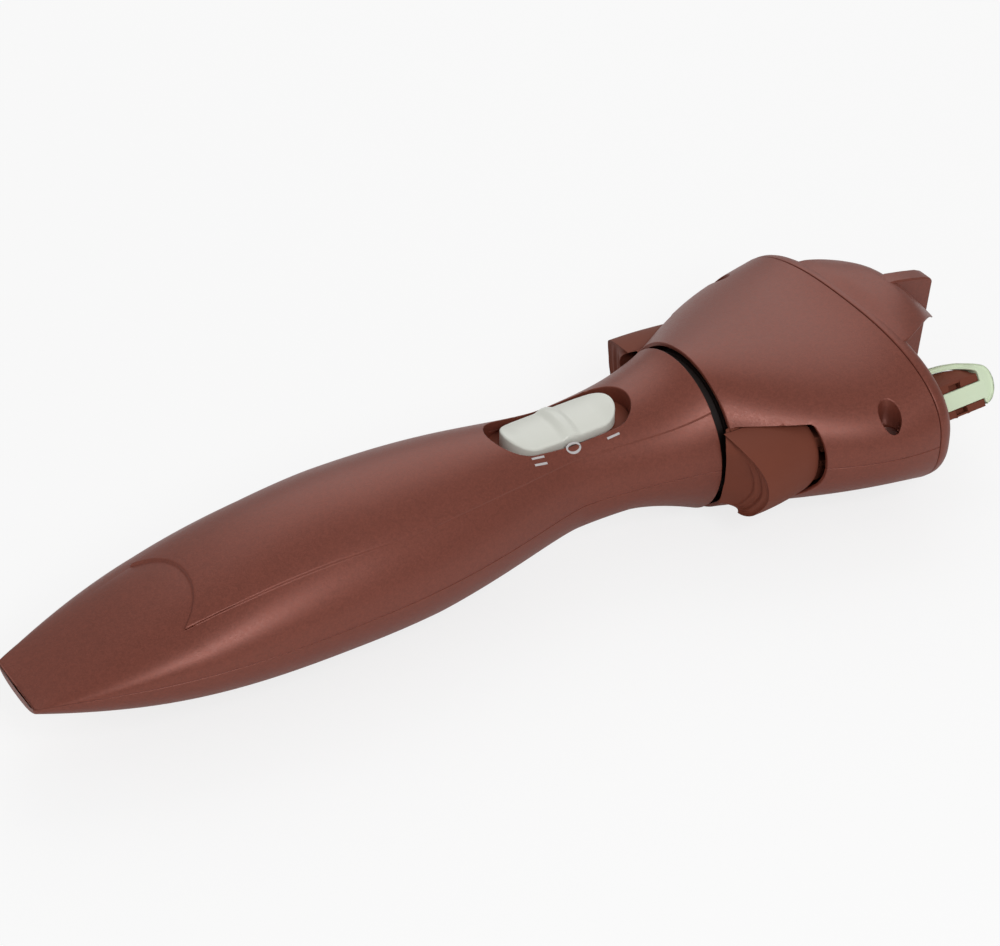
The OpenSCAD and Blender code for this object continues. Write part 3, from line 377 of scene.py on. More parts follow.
def rounded_slab(loop, low, high, round_low, round_high, steps=5):
    """Rings of a slab whose outline is a convex loop about the origin; its rims are quarter circles, where the
    outline draws in as the height runs out."""
    turn = np.linspace(0, math.pi / 2, steps)
    inset = np.concatenate([round_low * (1 - np.sin(turn)), round_high * (1 - np.cos(turn))])
    height = np.concatenate([low + round_low * (1 - np.cos(turn)), high - round_high * (1 - np.sin(turn))])
    size = np.linalg.norm(loop, axis=-1, keepdims=True)
    flat = loop[None] * (1 - inset[:, None, None] / size[None])
    return np.concatenate([flat, np.broadcast_to(height[:, None, None], flat.shape[:2] + (1,))], -1)


def mirrored(part, axis=1):
    """The same part on the other side of the axis, with its faces turned round."""
    points, faces = part
    other = np.array(points, float)
    other[..., axis] *= -1
    return other, [f[:, ::-1] for f in faces]


# ---- Shader sums and materials ----

class Wire:
    """A number on a shader socket that can be added, multiplied and so on; each sum adds a Math node."""

    def __init__(self, paint, socket):
        self.paint = paint
        self.socket = socket

    def math(self, operation, first, second):
        node = self.paint.node("ShaderNodeMath", {"operation": operation}, {0: first, 1: second})
        return Wire(self.paint, node.outputs[0])

    def __add__(self, other):
        return self.math("ADD", self, other)

    def __sub__(self, other):
        return self.math("SUBTRACT", self, other)

    def __rsub__(self, other):
        return self.math("SUBTRACT", other, self)

    def __mul__(self, other):
        return self.math("MULTIPLY", self, other)

    __radd__ = __add__
    __rmul__ = __mul__


class Graph:
    """A node tree, emptied, and the one way in which nodes are added to it."""

    def __init__(self, tree):
        self.tree = tree
        self.tree.nodes.clear()

    def node(self, kind, settings=None, values=None):
        """A node of any type: its settings are set first, then each of its sockets is linked or given a value."""
        node = self.tree.nodes.new(kind)
        for key, value in (settings or {}).items():
            setattr(node, key, value)
        for key, value in (values or {}).items():
            value = value.socket if isinstance(value, Wire) else value
            if isinstance(value, bpy.types.NodeSocket):
                self.tree.links.new(value, node.inputs[key])
            else:
                node.inputs[key].default_value = value
        return node


class Paint(Graph):
    """One material and the nodes of its shader."""

    def __init__(self, name):
        self.material = bpy.data.materials.new(name)
        self.material.use_nodes = True
        super().__init__(self.material.node_tree)
        self.place = self.node("ShaderNodeTexCoord").outputs["Object"]

    def noise(self, size, detail=2.0, stretch=(1, 1, 1)):
        """Noise of a grain size in millimetres, stretched along the axes."""
        place = self.node("ShaderNodeMapping", {}, {"Vector": self.place, "Scale": stretch}).outputs[0]
        values = {"Vector": place, "Scale": 1 / (size * MM), "Detail": detail}
        return Wire(self, self.node("ShaderNodeTexNoise", {}, values).outputs["Fac"])

    def flakes(self, size):
        """A random number in each cell of a cell pattern of a size in millimetres."""
        cells = self.node("ShaderNodeTexVoronoi", {}, {"Vector": self.place, "Scale": 1 / (size * MM)})
        split = self.node("ShaderNodeSeparateColor", {}, {"Color": cells.outputs["Color"]})
        return Wire(self, split.outputs[0])

    def blend(self, factor, first, second):
        """A colour between two colours, by a factor from 0 to 1."""
        return self.node("ShaderNodeMix", {"data_type": "RGBA"}, {0: factor, 6: first, 7: second}).outputs[2]

    def bump(self, height, depth):
        """A normal from a height between 0 and 1, for a relief of a depth in millimetres."""
        return self.node("ShaderNodeBump", {}, {"Height": height, "Distance": depth * MM}).outputs[0]

    def finish(self, **values):
        """The surface: one Principled shader with these sockets, named with underscores for spaces."""
        named = {key.replace("_", " "): value for key, value in values.items()}
        surface = self.node("ShaderNodeBsdfPrincipled", {}, named)
        self.node("ShaderNodeOutputMaterial", {}, {"Surface": surface.outputs[0]})
        return self.material


def shade(colour, by):
    """A colour made lighter or darker by a factor, with its alpha."""
    return (*[min(1.0, c * by) for c in colour[:3]], 1.0)


def satin_metallic(name, colour, grain, roughness, metallic):
    """Plastic moulded with metal flakes: flakes of two sizes vary its colour and turn its sheen, over a soft
    mottle of a few centimetres."""
    paint = Paint(name)
    fine, coarse = paint.flakes(grain), paint.flakes(2.3 * grain)
    mottle = paint.noise(22)
    tone = fine * 0.5 + coarse * 0.25 + mottle * 0.25
    relief = fine * 0.7 + coarse * 0.3
    return paint.finish(
        Base_Color=paint.blend(tone, shade(colour, 0.84), shade(colour, 1.18)),
        Metallic=metallic,
        Roughness=fine * 0.10 + mottle * 0.06 + (roughness - 0.08),
        Normal=paint.bump(relief, 0.010),
        Specular_IOR_Level=0.5,
    )


def moulded(name, colour, roughness, texture=0.35, depth=0.008, spread=0.06, specular=0.5):
    """Plain moulded plastic: a fine spark-eroded texture, with a faint cloud in its colour and gloss."""
    paint = Paint(name)
    grain, cloud = paint.noise(texture, 3.0), paint.noise(9)
    return paint.finish(
        Base_Color=paint.blend(cloud, shade(colour, 1 - spread), shade(colour, 1 + spread)),
        Roughness=grain * 0.12 + cloud * 0.06 + (roughness - 0.09),
        Normal=paint.bump(grain, depth),
        Specular_IOR_Level=specular,
    )


def drawn_metal(name, colour, roughness, stretch=(0.05, 1, 1)):
    """Metal with fine scratches drawn along one axis and a slow change of its gloss."""
    paint = Paint(name)
    lines, cloud = paint.noise(0.25, 3.0, stretch), paint.noise(6)
    return paint.finish(
        Base_Color=paint.blend(lines * 0.6 + cloud * 0.4, shade(colour, 0.86), shade(colour, 1.1)),
        Metallic=1.0,
        Roughness=lines * 0.16 + cloud * 0.08 + (roughness - 0.12),
        Normal=paint.bump(lines, 0.003),
    )


# ---- Properties ----

def colour_of(name, words, default):
    return FloatVectorProperty(name=name, description=words, subtype="COLOR", size=4, min=0, max=1,
                               default=(*default, 1.0))


class BraiderForm(bpy.types.PropertyGroup):
    """Sizes that dress the frame."""

    edge_round: FloatProperty(
        name="Edge rounding", description="Radius of the rim along every seam and opening of the shells",
        default=0.18 * MM, min=0, unit="LENGTH")
    door_gap: FloatProperty(
        name="Door gap", description="Gap around the battery door", default=0.15 * MM, min=0, unit="LENGTH")
    label_height: FloatProperty(
        name="Print height", description="Height of the printed switch marks above the skin",
        default=0.03 * MM, min=0, unit="LENGTH")
    label_y: FloatProperty(
        name="Print distance", description="Distance of the switch marks from the middle of the handle",
        default=9 * MM, unit="LENGTH")
    ridge_height: FloatProperty(
        name="Ridge height", description="Height of the grip ridges on a lever", default=0.45 * MM, min=0,
        unit="LENGTH")


class BraiderFinish(bpy.types.PropertyGroup):
    """Colours and gloss of the finishes."""

    shell: colour_of("Shell", "Colour of the casings", (0.205, 0.053, 0.033))
    lever: colour_of("Levers", "Colour of the levers and hook blocks", (0.185, 0.052, 0.031))
    mint: colour_of("Straps", "Colour of the gripper straps", (0.78, 0.90, 0.66))
    pearl: colour_of("Switch", "Colour of the sliding switch", (0.76, 0.77, 0.70))
    drum: colour_of("Drum", "Colour of the neck between handle and head", (0.010, 0.004, 0.003))
    print: colour_of("Print", "Colour of the printed marks", (0.56, 0.53, 0.53))
    grain: FloatProperty(
        name="Flake size", description="Size of the metal flakes in the shells", default=0.30 * MM, min=0,
        unit="LENGTH")
    gloss: FloatProperty(
        name="Shell roughness", description="Roughness of the shells", default=0.40, min=0, max=1)
    metallic: FloatProperty(
        name="Shell metal", description="Share of metal in the shells' sheen", default=0.30, min=0, max=1)


class BraiderStage(bpy.types.PropertyGroup):
    """Camera, lamps and floor."""

    azimuth: FloatProperty(
        name="Camera azimuth", description="Turn of the camera round the object from -X towards -Y",
        default=math.radians(57.98), unit="ROTATION")
    elevation: FloatProperty(
        name="Camera elevation", description="Height of the camera above the horizon",
        default=math.radians(37.75), unit="ROTATION")
    roll: FloatProperty(
        name="Camera roll", description="Turn of the camera about its own view", default=math.radians(0.24),
        unit="ROTATION")
    distance: FloatProperty(
        name="Camera distance", description="Distance of the camera from its target", default=0.6391,
        unit="LENGTH")
    lens: FloatProperty(
        name="Focal length", description="Focal length on a sensor 36 mm wide", default=101.19, unit="CAMERA")
    key: FloatProperty(name="Key light", description="Power of the key lamp in watts", default=2.0, min=0)
    top: FloatProperty(name="Top light", description="Power of the overhead lamp in watts", default=2.3, min=0)
    fill: FloatProperty(name="Fill light", description="Power of the fill lamp in watts", default=0.4, min=0)
    sky: FloatProperty(name="Sky", description="Strength of the even light from all round", default=0.42, min=0)
    floor: colour_of("Floor", "Colour of the floor", (0.97, 0.97, 0.97))


def settings():
    """The scene's three groups of sizes, colours and lights."""
    scene = bpy.context.scene
    return scene.braider_form, scene.braider_finish, scene.braider_stage


def millimetres(length):
    return length / MM


def finishes():
    """Every finish by the record's slot, and the print's, made once."""
    look = settings()[1]
    table = {
        "shell": ("satin_rose_shell", satin_metallic, dict(
            colour=look.shell, grain=millimetres(look.grain), roughness=look.gloss, metallic=look.metallic)),
        "matte_brown": ("lever_plastic", moulded, dict(
            colour=look.lever, roughness=0.6, texture=0.3, depth=0.006, specular=0.15)),
        "mint": ("mint_strap", moulded, dict(colour=look.mint, roughness=0.45)),
        "pearl": ("pearl_switch", moulded, dict(
            colour=look.pearl, roughness=0.36, texture=0.25, depth=0.002, spread=0.03)),
        "print": ("silk_print", moulded, dict(colour=look.print, roughness=0.45, texture=0.2, depth=0.003)),
        "dark_drum": ("drum_plastic", moulded, dict(colour=look.drum, roughness=0.55)),
        "black_plastic": ("inner_plastic", moulded, dict(colour=(0.018, 0.018, 0.020), roughness=0.5)),
        "gear_plastic": ("acetal_gear", moulded, dict(
            colour=(0.70, 0.67, 0.58), roughness=0.4, texture=0.5, depth=0.004)),
        "cell_wrap": ("cell_jacket", moulded, dict(
            colour=(0.05, 0.11, 0.17), roughness=0.3, texture=1.2, depth=0.003, spread=0.12)),
        "steel": ("drawn_steel", drawn_metal, dict(colour=(0.56, 0.57, 0.58), roughness=0.32)),
        "brass": ("turned_brass", drawn_metal, dict(colour=(0.60, 0.42, 0.16), roughness=0.3, stretch=(1, 0.3, 0.3))),
        "copper": ("copper_winding", drawn_metal, dict(
            colour=(0.50, 0.20, 0.08), roughness=0.35, stretch=(1, 0.05, 0.05))),
        "board": ("board_green", moulded, dict(
            colour=(0.012, 0.075, 0.028), roughness=0.35, texture=0.6, depth=0.004, spread=0.15)),
        "lead_red": ("red_lead", moulded, dict(colour=(0.30, 0.012, 0.010), roughness=0.4)),
    }
    return {slot: bpy.data.materials.get(name) or make(name, **values)
            for slot, (name, make, values) in table.items()}


# ---- Operators, one for each piece or group of like pieces ----

class BRAIDER_OT_frame_finish(bpy.types.Operator):
    """Give every piece of the frame the finish of its slot"""

    bl_idname = "braider.frame_finish"
    bl_label = "Frame finishes"

    def execute(self, context):
        table = finishes()
        slots = {part["node"]: part["material_slot"] for part in frame["record"]["subparts"]}
        for name, node in frame["nodes"].items():
            node.data.materials.clear()
            node.data.materials.append(table[slots[name]])
        return {"FINISHED"}


def handle_rows():
    """Rows of the handle: (x, inset, shrink). The first close the flat butt end, the next round its rim, and the
    rest run to the ring, closer together beside the tongue's step."""
    rim = 0.8
    turn = np.linspace(0, math.pi / 2, 6)
    shrink = np.array([0.0, 0.35, 0.65, 0.88])
    body = np.concatenate([
        np.linspace(1.2, TONGUE_X - 1.2, 54), TONGUE_X + np.array([-0.8, -0.5, -0.25, -0.1, 0.05, 0.2, 0.35, 0.7]),
        np.linspace(TONGUE_X + 1.2, RING_X, 172)])
    x = np.concatenate([np.zeros(4), rim * (1 - np.cos(turn)), body])
    inset = np.concatenate([np.full(4, rim), rim * (1 - np.sin(turn)), 0 * body])
    return x, inset, np.concatenate([shrink, np.ones(len(turn) + len(body))])


def handle_columns():
    """Angles of half the handle from 0 to pi, closer together beside both creases."""
    side = np.concatenate([
        np.linspace(0, CREASE - 0.03, 18), CREASE + np.array([-0.018, -0.012, -0.006, 0.0, 0.006, 0.02]),
        np.linspace(CREASE + 0.045, math.pi / 2, 24)])
    return np.concatenate([side, math.pi - side[-2::-1]])


def handle_wall(lower):
    """Outer and inner grid of one half of the handle's wall. The upper half has the raised panel."""
    x, inset, shrink = (v[:, None] for v in handle_rows())
    a = handle_columns()[None]
    bent = x + (0 if lower else tongue_warp(x, a) * (shrink == 1))
    around = a + math.pi if lower else lifted(x, a)
    drop = 0 if lower else panel_drop(x, a)
    outer = handle_skin(np.maximum(bent, 0.1), around, inset + drop, shrink)
    inner_x = bent + 8 * np.clip(1 - bent / 40, 0, None) ** 2
    return outer, handle_skin(inner_x, around, WALL, shrink)


def stadium_distance(length, width, centre_x):
    """Distance from a stadium's edge in plan, negative inside it."""
    def distance(x, y):
        along = np.clip(np.abs(x - centre_x) - (length - width) / 2, 0, None)
        return np.sqrt(along ** 2 + y ** 2) - width / 2
    return distance


def wells_distance(places, radius, stretch=1.0):
    """Distance from the nearest of several circles in plan, each stretched across the part, negative inside them."""
    def distance(x, y):
        return np.min([np.hypot(x - cx, (y - cy) / stretch) for cx, cy in places], axis=0) - radius
    return distance


SLOT_LEN, SLOT_W = 37.1, 15.5
POCKET_Z = span("switch_guide")[1][2]
SCREW_PLACES = [(28, 0), (110.5, 13), (110.5, -13)]
SCREW_HOLE_R = 2.4
SCREW_SEAT_Z = -6.4
DOOR_X, DOOR_END = 45.0, 105.0
DOOR_ANGLES = (math.radians(225), math.radians(315))


class BRAIDER_OT_handle(bpy.types.Operator):
    """Model the two halves of the handle with their raised panel, switch slot, door opening and screw wells"""

    bl_idname = "braider.handle"
    bl_label = "Handle shells"

    def execute(self, context):
        form = settings()[0]
        shell = finishes()["shell"]
        edge = millimetres(form.edge_round)
        outer, inner = handle_wall(lower=False)
        outer, keep, rim = cut_opening(outer, stadium_distance(SLOT_LEN, SLOT_W, SLOT_X), (0, 1))
        inner[rim, :2] = outer[rim, :2]
        inner[rim, 2] = POCKET_Z - 0.4
        add_piece("handle_top", [walled(outer, inner, keep)], "handle", shell, ["handle_upper_shell"], edge)

        outer, inner = handle_wall(lower=True)
        x, a = outer[..., 0], handle_columns() + math.pi
        outer, keep, rim = cut_opening(outer, wells_distance(SCREW_PLACES, SCREW_HOLE_R), (0, 1))
        inner[rim, :2] = outer[rim, :2]
        inner[rim, 2] = SCREW_SEAT_Z
        rows = [int(np.argmin(np.abs(x[:, 0] - v))) for v in (DOOR_X, DOOR_END)]
        cols = [int(np.argmin(np.abs(a - v))) for v in DOOR_ANGLES]
        for row, place in zip(rows, (DOOR_X, DOOR_END)):
            for grid, inset in ((outer, 0.0), (inner, WALL)):
                grid[row] = handle_skin(np.full(a.shape, place), a, inset)
        for col, place in zip(cols, DOOR_ANGLES):
            for grid, inset in ((outer, 0.0), (inner, WALL)):
                grid[rows[0]:rows[1] + 1, col] = handle_skin(x[rows[0]:rows[1] + 1, col], np.array(place), inset)
        keep[rows[0]:rows[1], cols[0]:cols[1]] = False
        add_piece("handle_base", [walled(outer, inner, keep)], "handle", shell, ["handle_lower_shell"],
                  edge)
        return {"FINISHED"}


class BRAIDER_OT_battery_door(bpy.types.Operator):
    """Model the battery door with its thumb recess and ridges"""

    bl_idname = "braider.battery_door"
    bl_label = "Battery door"

    def execute(self, context):
        form = settings()[0]
        gap = millimetres(form.door_gap)
        play = gap / GRIP_HALF_W
        x = np.linspace(DOOR_X + gap, DOOR_END - gap, 121)[:, None]
        a = np.linspace(DOOR_ANGLES[0] + play, DOOR_ANGLES[1] - play, 61)[None]
        y = half_width(x) * np.cos(a)
        recess_x, recess_len, recess_w, depth = 93.0, 8.0, 9.0, 0.9
        ridge, pitch = 0.35, 2.4
        far = np.hypot((x - recess_x) / recess_len, y / recess_w)
        bowl = depth * (1 - ease(far, 0.75, 1.0))
        ridges = ridge * np.cos(2 * math.pi * (x - recess_x) / pitch) * (1 - ease(far, 0.6, 0.8))
        part = walled(handle_skin(x, a, bowl - ridges * (bowl > 0)), handle_skin(x, a, WALL),
                      np.ones((x.size - 1, a.size - 1), bool))
        add_piece("battery_cover", [part], "battery_door", finishes()["shell"], ["battery_door"],
                  millimetres(form.edge_round))
        return {"FINISHED"}


def printed(x, y, lift, sink=0.1):
    """A closed strip of print over a grid of places on the top of the handle: its face stands lift above the
    skin."""
    a = np.arccos(np.clip(y / half_width(x), -1, 1))
    drop = panel_drop(x, a)
    return walled(handle_skin(x, a, drop - lift), handle_skin(x, a, drop + sink),
                  np.ones((x.shape[0] - 1, x.shape[1] - 1), bool))


def print_bar(x, y, length, width, lift):
    """A printed bar along the handle."""
    along, over = np.meshgrid(np.linspace(-length / 2, length / 2, 9), np.linspace(-width / 2, width / 2, 3),
                              indexing="ij")
    return printed(x + along, y + over, lift)


class BRAIDER_OT_switch_marks(bpy.types.Operator):
    """Print the two bars, the ring and the single bar beside the switch"""

    bl_idname = "braider.switch_marks"
    bl_label = "Switch marks"

    def execute(self, context):
        form = settings()[0]
        lift, y = millimetres(form.label_height), -millimetres(form.label_y)
        bar_len, bar_w = 3.3, 0.42
        bar_places = ((-10.7, 0.6), (-10.7, -0.7), (9.3, 0))
        ring_x, ring_y, ring_long, ring_short, half_stroke = -1.0, 0.8, 1.7, 0.85, 0.22
        turn = np.linspace(0, 2 * math.pi, 49)[None]
        stroke = np.array([-half_stroke, half_stroke])[:, None]
        ring = printed(SLOT_X + ring_x + (ring_long + stroke) * np.cos(turn),
                       y + ring_y + (ring_short + stroke) * np.sin(turn), lift)
        bars = [print_bar(SLOT_X + dx, y + dy, bar_len, bar_w, lift) for dx, dy in bar_places]
        add_piece("switch_marks", bars + [ring], "handle", finishes()["print"])
        return {"FINISHED"}


def stadium_sheet(length, width):
    """Places over a stadium about the origin, in rows across it that lie closer together near its ends."""
    x = length / 2 * np.sin(np.linspace(-math.pi / 2, math.pi / 2, 161))[:, None]
    past = np.clip(np.abs(x) - (length - width) / 2, 0, None)
    return np.broadcast_arrays(x, np.sqrt(np.clip((width / 2) ** 2 - past ** 2, 0, None)) * np.linspace(-1, 1, 25))


class BRAIDER_OT_switch_button(bpy.types.Operator):
    """Model the sliding switch: a stadium with a thumb dish on each side of its middle ridge"""

    bl_idname = "braider.switch_button"
    bl_label = "Sliding switch"

    def execute(self, context):
        length, width = BUTTON_HIGH[:2] - BUTTON_LOW[:2]
        low, high = BUTTON_LOW[2], BUTTON_HIGH[2]
        rim, deep, crown, ridge_end, dish_end = 0.55, 1.1, 1.7, (0.5, 2.8), 9
        x, y = stadium_sheet(length - 2 * rim, width - 2 * rim)
        across = y / (width / 2)
        dish = deep * ease(np.abs(x), *ridge_end) * (1 - 0.9 * ease(np.abs(x), dish_end, length / 2))
        sheet = np.stack([x + SLOT_X, y, high - dish * (1 - 0.35 * across ** 2) - crown * across ** 2], -1)
        border = np.concatenate([sheet[:, -1], sheet[-2:0:-1, 0]])
        straight = (length - width) / 2
        spine = np.clip(border[:, 0] - SLOT_X, -straight, straight) + SLOT_X
        out = rim * np.stack([border[:, 0] - spine, border[:, 1], 0 * spine], -1) / (width / 2 - rim)
        turn = np.linspace(0, math.pi / 2, 6)[:, None, None]
        rings = border + out * np.sin(turn) - (0, 0, rim) * (1 - np.cos(turn))
        rings = np.concatenate([rings, rings[-1:] * (1, 1, 0) + (0, 0, low)])
        parts = [(sheet, [grid_faces(*sheet.shape[:2])]), loop_solid(rings, cap_first=False)]
        add_piece("switch_slider", parts, "switch", finishes()["pearl"], ["switch_button"])
        return {"FINISHED"}


WINDOW_LEN, WINDOW_HALF_H, WINDOW_CORNER = 18.2, 10.3, 0.35
REAR_CUT_Z, REAR_CUT_SLOPE = 9.3, 0.9


def front_bow(z):
    """How far the front end of a window, and of the lever in it, bends back at height z: as the power 2.7 of the
    distance from its foremost point, faster below it."""
    return np.where(z > 1.5, 0.0035, 0.0072) * np.abs(z - 1.5) ** 2.7


def window_distance(x, z):
    """Distance from the edge of a lever's window in side view, negative inside it: a band 20.6 mm high whose front
    end is bowed and whose rear corners are cut off."""
    front = HEAD_X + WINDOW_LEN - front_bow(z)
    over_x, over_z = x - front + WINDOW_CORNER, np.abs(z) - WINDOW_HALF_H + WINDOW_CORNER
    outside = np.hypot(np.clip(over_x, 0, None), np.clip(over_z, 0, None))
    rear_cut = (np.abs(z) - REAR_CUT_Z - REAR_CUT_SLOPE * (x - HEAD_X)) / math.hypot(1, REAR_CUT_SLOPE)
    return np.maximum(outside + np.minimum(np.maximum(over_x, over_z), 0) - WINDOW_CORNER, rear_cut)


WELL_PLACES = [(SEAM_X - 11.4, 33.6), (SEAM_X - 11.4, -33.6)]
WELL_R, WELL_STRETCH = 2.6, 1.2
WELL_FLOOR = span("head_screws")[1][2] - 1.6
WALL_THINNED, THIN_FROM, THIN_TO = 1.0, HEAD_X + 23, HEAD_X + 27
FOOT_LEN, FOOT_W, FOOT_H, FOOT_MIDDLE = 32, 16, 3.6, HEAD_X + 24.4


def head_wall(lower):
    """Outer grid, inner grid and kept cells of one half of the head's wall, with the halves of both windows. The
    wall is thinner round the windows, so that the levers slide in under it."""
    x = np.linspace(HEAD_X, SEAM_X - GAP, 84)[:, None]
    even = np.linspace(0, math.pi, 121)[None]
    a = even - 0.12 * np.sin(4 * even) + (math.pi if lower else 0)
    outer = head_skin(x, a)
    outer, keep, rim = cut_opening(outer, window_distance, (0, 2))
    inner = head_skin(outer[..., 0], a, WALL - WALL_THINNED * (1 - ease(outer[..., 0], THIN_FROM, THIN_TO)))
    inner[rim, 2] = outer[rim, 2]
    return outer, inner, keep


class BRAIDER_OT_head(bpy.types.Operator):
    """Model the two halves of the head with their lever windows, screw wells and rest foot"""

    bl_idname = "braider.head"
    bl_label = "Head shells"

    def execute(self, context):
        edge = millimetres(settings()[0].edge_round)
        shell = finishes()["shell"]
        outer, inner, keep = head_wall(lower=False)
        outer, wells, rim = cut_opening(outer, wells_distance(WELL_PLACES, WELL_R, WELL_STRETCH), (0, 1))
        inner[rim, :2] = outer[rim, :2]
        inner[rim, 2] = WELL_FLOOR - 1.4
        floors = []
        for cx, cy in WELL_PLACES:
            turn = np.linspace(0, 2 * math.pi, 33)[:-1]
            disc = (cx, cy) + (WELL_R + 0.2) * np.stack([np.cos(turn), WELL_STRETCH * np.sin(turn)], -1)
            floors.append(prism(disc, WELL_FLOOR - 1.2, WELL_FLOOR - 0.05))
        add_piece("head_top", [walled(outer, inner, keep & wells)] + floors, "head", shell,
                  ["head_upper_shell"], edge)

        outer, inner, keep = head_wall(lower=True)
        foot = rounded_slab(stadium_loop(FOOT_LEN, FOOT_W), FOOT_Z, FOOT_Z + FOOT_H, 0.5, 0)
        foot[..., 0] += FOOT_MIDDLE
        add_piece("head_base", [walled(outer, inner, keep), loop_solid(foot)], "head", shell,
                  ["head_lower_shell"], edge)
        return {"FINISHED"}


# Free edge of a roof: distance in front of the nose, place across and height.
ROOF_EDGE = [[-3.6, 20.6, 17.0], [0, 20, 17.8], [5, 17.5, 17.6], [10, 14.3, 16.5], [15, 10.3, 13.3], [20, 5.6, 8.4],
             [22.2, 2.4, 6.0]]
LOWER_REACH = 19.0
ROOF_THICK = 2
# Upper half of the fin's outline in side view: distance in front of the nose and height.
FIN_HALF = np.array([[0, 20.2], [10, 20.3], [15.2, 19.2], [19.2, 18.2], [21.3, 17.2], [21.9, 16.3]])
FIN_NOTCH = [[19.9, -5]]
FIN_HALF_THICK = 2.2


def cap_height(y):
    """Height of the cap's skin at a place across it."""
    width, height, p = head_sizes(SEAM_X)
    return height * (1 - np.clip(np.abs(y) / width, 0, 1) ** (2 / p)) ** (p / 2)


def roof_grid(down, reach):
    """The domed sheet from one free edge across the fin to the other. Its ridge runs level, then falls at a steady
    slope after a soft bend; across, it drops from ridge to edge as |s|^2.2; and behind the nose it runs into the
    cap's skin. down is how far below it the inner sheet lies, which is less towards the free edges."""
    edge = smooth_line(ROOF_EDGE, 64)
    d, edge_y, edge_z = (edge[:, k, None] for k in range(3))
    s = np.linspace(-1, 1, 61)[None]
    bend = 0.9
    ridge = np.maximum(20.5 - 1.13 * bend * np.log1p(np.exp((d - 9.9) / bend)), edge_z + 0.1)
    z = edge_z + (ridge - edge_z) * (1 - np.abs(s) ** 2.2)
    free = ease(d, -4.0, 2.0)
    z = cap_height(edge_y * s) * (1 - free) + z * free - 0.12 * (1 - free)
    down = down * (1 - 0.75 * np.abs(s) ** 4) * (1 - 0.75 * ease(d, 16, ROOF_REACH))
    x = NOSE_X + d * np.where(d > 0, reach / ROOF_REACH, 1) + 0 * s
    return np.stack([x, edge_y * s, z - down], -1)


class BRAIDER_OT_nose(bpy.types.Operator):
    """Model the nose cap with its upper and lower roof and the separator fin"""

    bl_idname = "braider.nose"
    bl_label = "Nose and fin"

    def execute(self, context):
        shell = finishes()["shell"]
        a = np.linspace(0, 2 * math.pi, 241)[:-1]
        turn = np.linspace(0, math.pi / 2, 8)
        rim = CAP_ROUND
        inset = np.concatenate([[0.25, 0.08, 0, 0], rim * (1 - np.cos(turn)), [5, 9, 13]])
        x = np.concatenate([[SEAM_X + GAP, SEAM_X + GAP + 0.08, SEAM_X + GAP + 0.3, NOSE_X - rim - 0.3],
                            NOSE_X - rim + rim * np.sin(turn), np.full(3, NOSE_X)])
        width, height, p = head_sizes(SEAM_X)
        y = (width - inset[:, None]) * signed_power(np.cos(a), p)
        z = (height - inset[:, None]) * signed_power(np.sin(a), p)
        slab = loop_solid(np.stack([x[:, None] + 0 * a, y, z], -1))
        roofs = [walled(roof_grid(0, reach), roof_grid(ROOF_THICK, reach), np.ones((63, 60), bool))
                 for reach in (ROOF_REACH, LOWER_REACH)]
        add_piece("nose", [slab], "head", shell, ["nose_cap"])
        add_piece("nose_roofs", [roofs[0], mirrored(roofs[1], 2)], "head", shell, (), 0.3, 50, 3)
        outline = np.concatenate([FIN_HALF, FIN_NOTCH, (FIN_HALF * (1, -1))[::-1]]) + (NOSE_X, 0)
        fin = prism(outline, -FIN_HALF_THICK, FIN_HALF_THICK, axis=1)
        add_piece("parting_fin", [fin], "head", shell, ["separator_fin"], 0.45, 20, 3)
        return {"FINISHED"}


def hook_points(points, side):
    """Points drawn about a hook's own axis, y out of its face and z across it, turned by the hook's tilt and moved
    to its place on the left (1) or right (-1)."""
    p = np.asarray(points, float)
    x, n, t = p[..., 0], p[..., 1], p[..., 2]
    y = HOOK_Y + n * math.cos(HOOK_TILT) - t * math.sin(HOOK_TILT)
    z = n * math.sin(HOOK_TILT) + t * math.cos(HOOK_TILT)
    return np.stack([x, side * y, z], -1)


BLOCK_X, BLOCK_END = NOSE_X + 2.2, NOSE_X + 16.7
LEG_X = NOSE_X + 5.6
PRONG_GAP = (NOSE_X + 7.9, NOSE_X + 11.4)
# Outer and inner line of a strap from the start of its band to the low end of its cap: distances in front of the
# nose and places across the hook.
STRAP_LINE = np.array([
    [3, 8.5, 3, 7.1], [7, 8.6, 7, 7.2], [12, 8.15, 11.8, 6.75], [15.4, 7.15, 14.8, 5.85], [17.8, 6.1, 16.5, 4.9],
    [19.5, 4.9, 16.9, 3.9], [20.4, 3.2, 16.9, 2.9], [20.65, 1.2, 16.9, 1.2], [20.2, -0.9, 16.9, -0.9],
    [19.1, -2.6, 16.9, -2.4], [17.9, -3.4, 16.9, -3.3], [17.0, -3.6, 16.9, -3.55]])
BLOCK_HALF = 4.1
BLOCK_BACK = -2.5
STRAP_FACE, STRAP_T, STRAP_HALF = 3.7, 1.4, 2.15


def smooth_line(points, count):
    """Points along a smooth line through a few given ones, by cubics with each slope taken from the neighbours."""
    points = np.asarray(points, float)
    t = np.linspace(0, len(points) - 1, count)
    k = np.clip(t.astype(int), 0, len(points) - 2)
    s = (t - k)[:, None]
    padded = np.concatenate([2 * points[:1] - points[1:2], points, 2 * points[-1:] - points[-2:-1]])
    before, start, end, after = (padded[k + i] for i in range(4))
    m0, m1 = (end - before) / 2, (after - start) / 2
    return ((2 * s ** 3 - 3 * s ** 2 + 1) * start + (s ** 3 - 2 * s ** 2 + s) * m0
            + (3 * s ** 2 - 2 * s ** 3) * end + (s ** 3 - s ** 2) * m1)


def band_face(x):
    """Front edge of a strap's band out of the hook's face: it starts narrow and widens along the flank."""
    return 1.2 - 2.8 * (1 - ease(x, NOSE_X + 3, NOSE_X + 14))


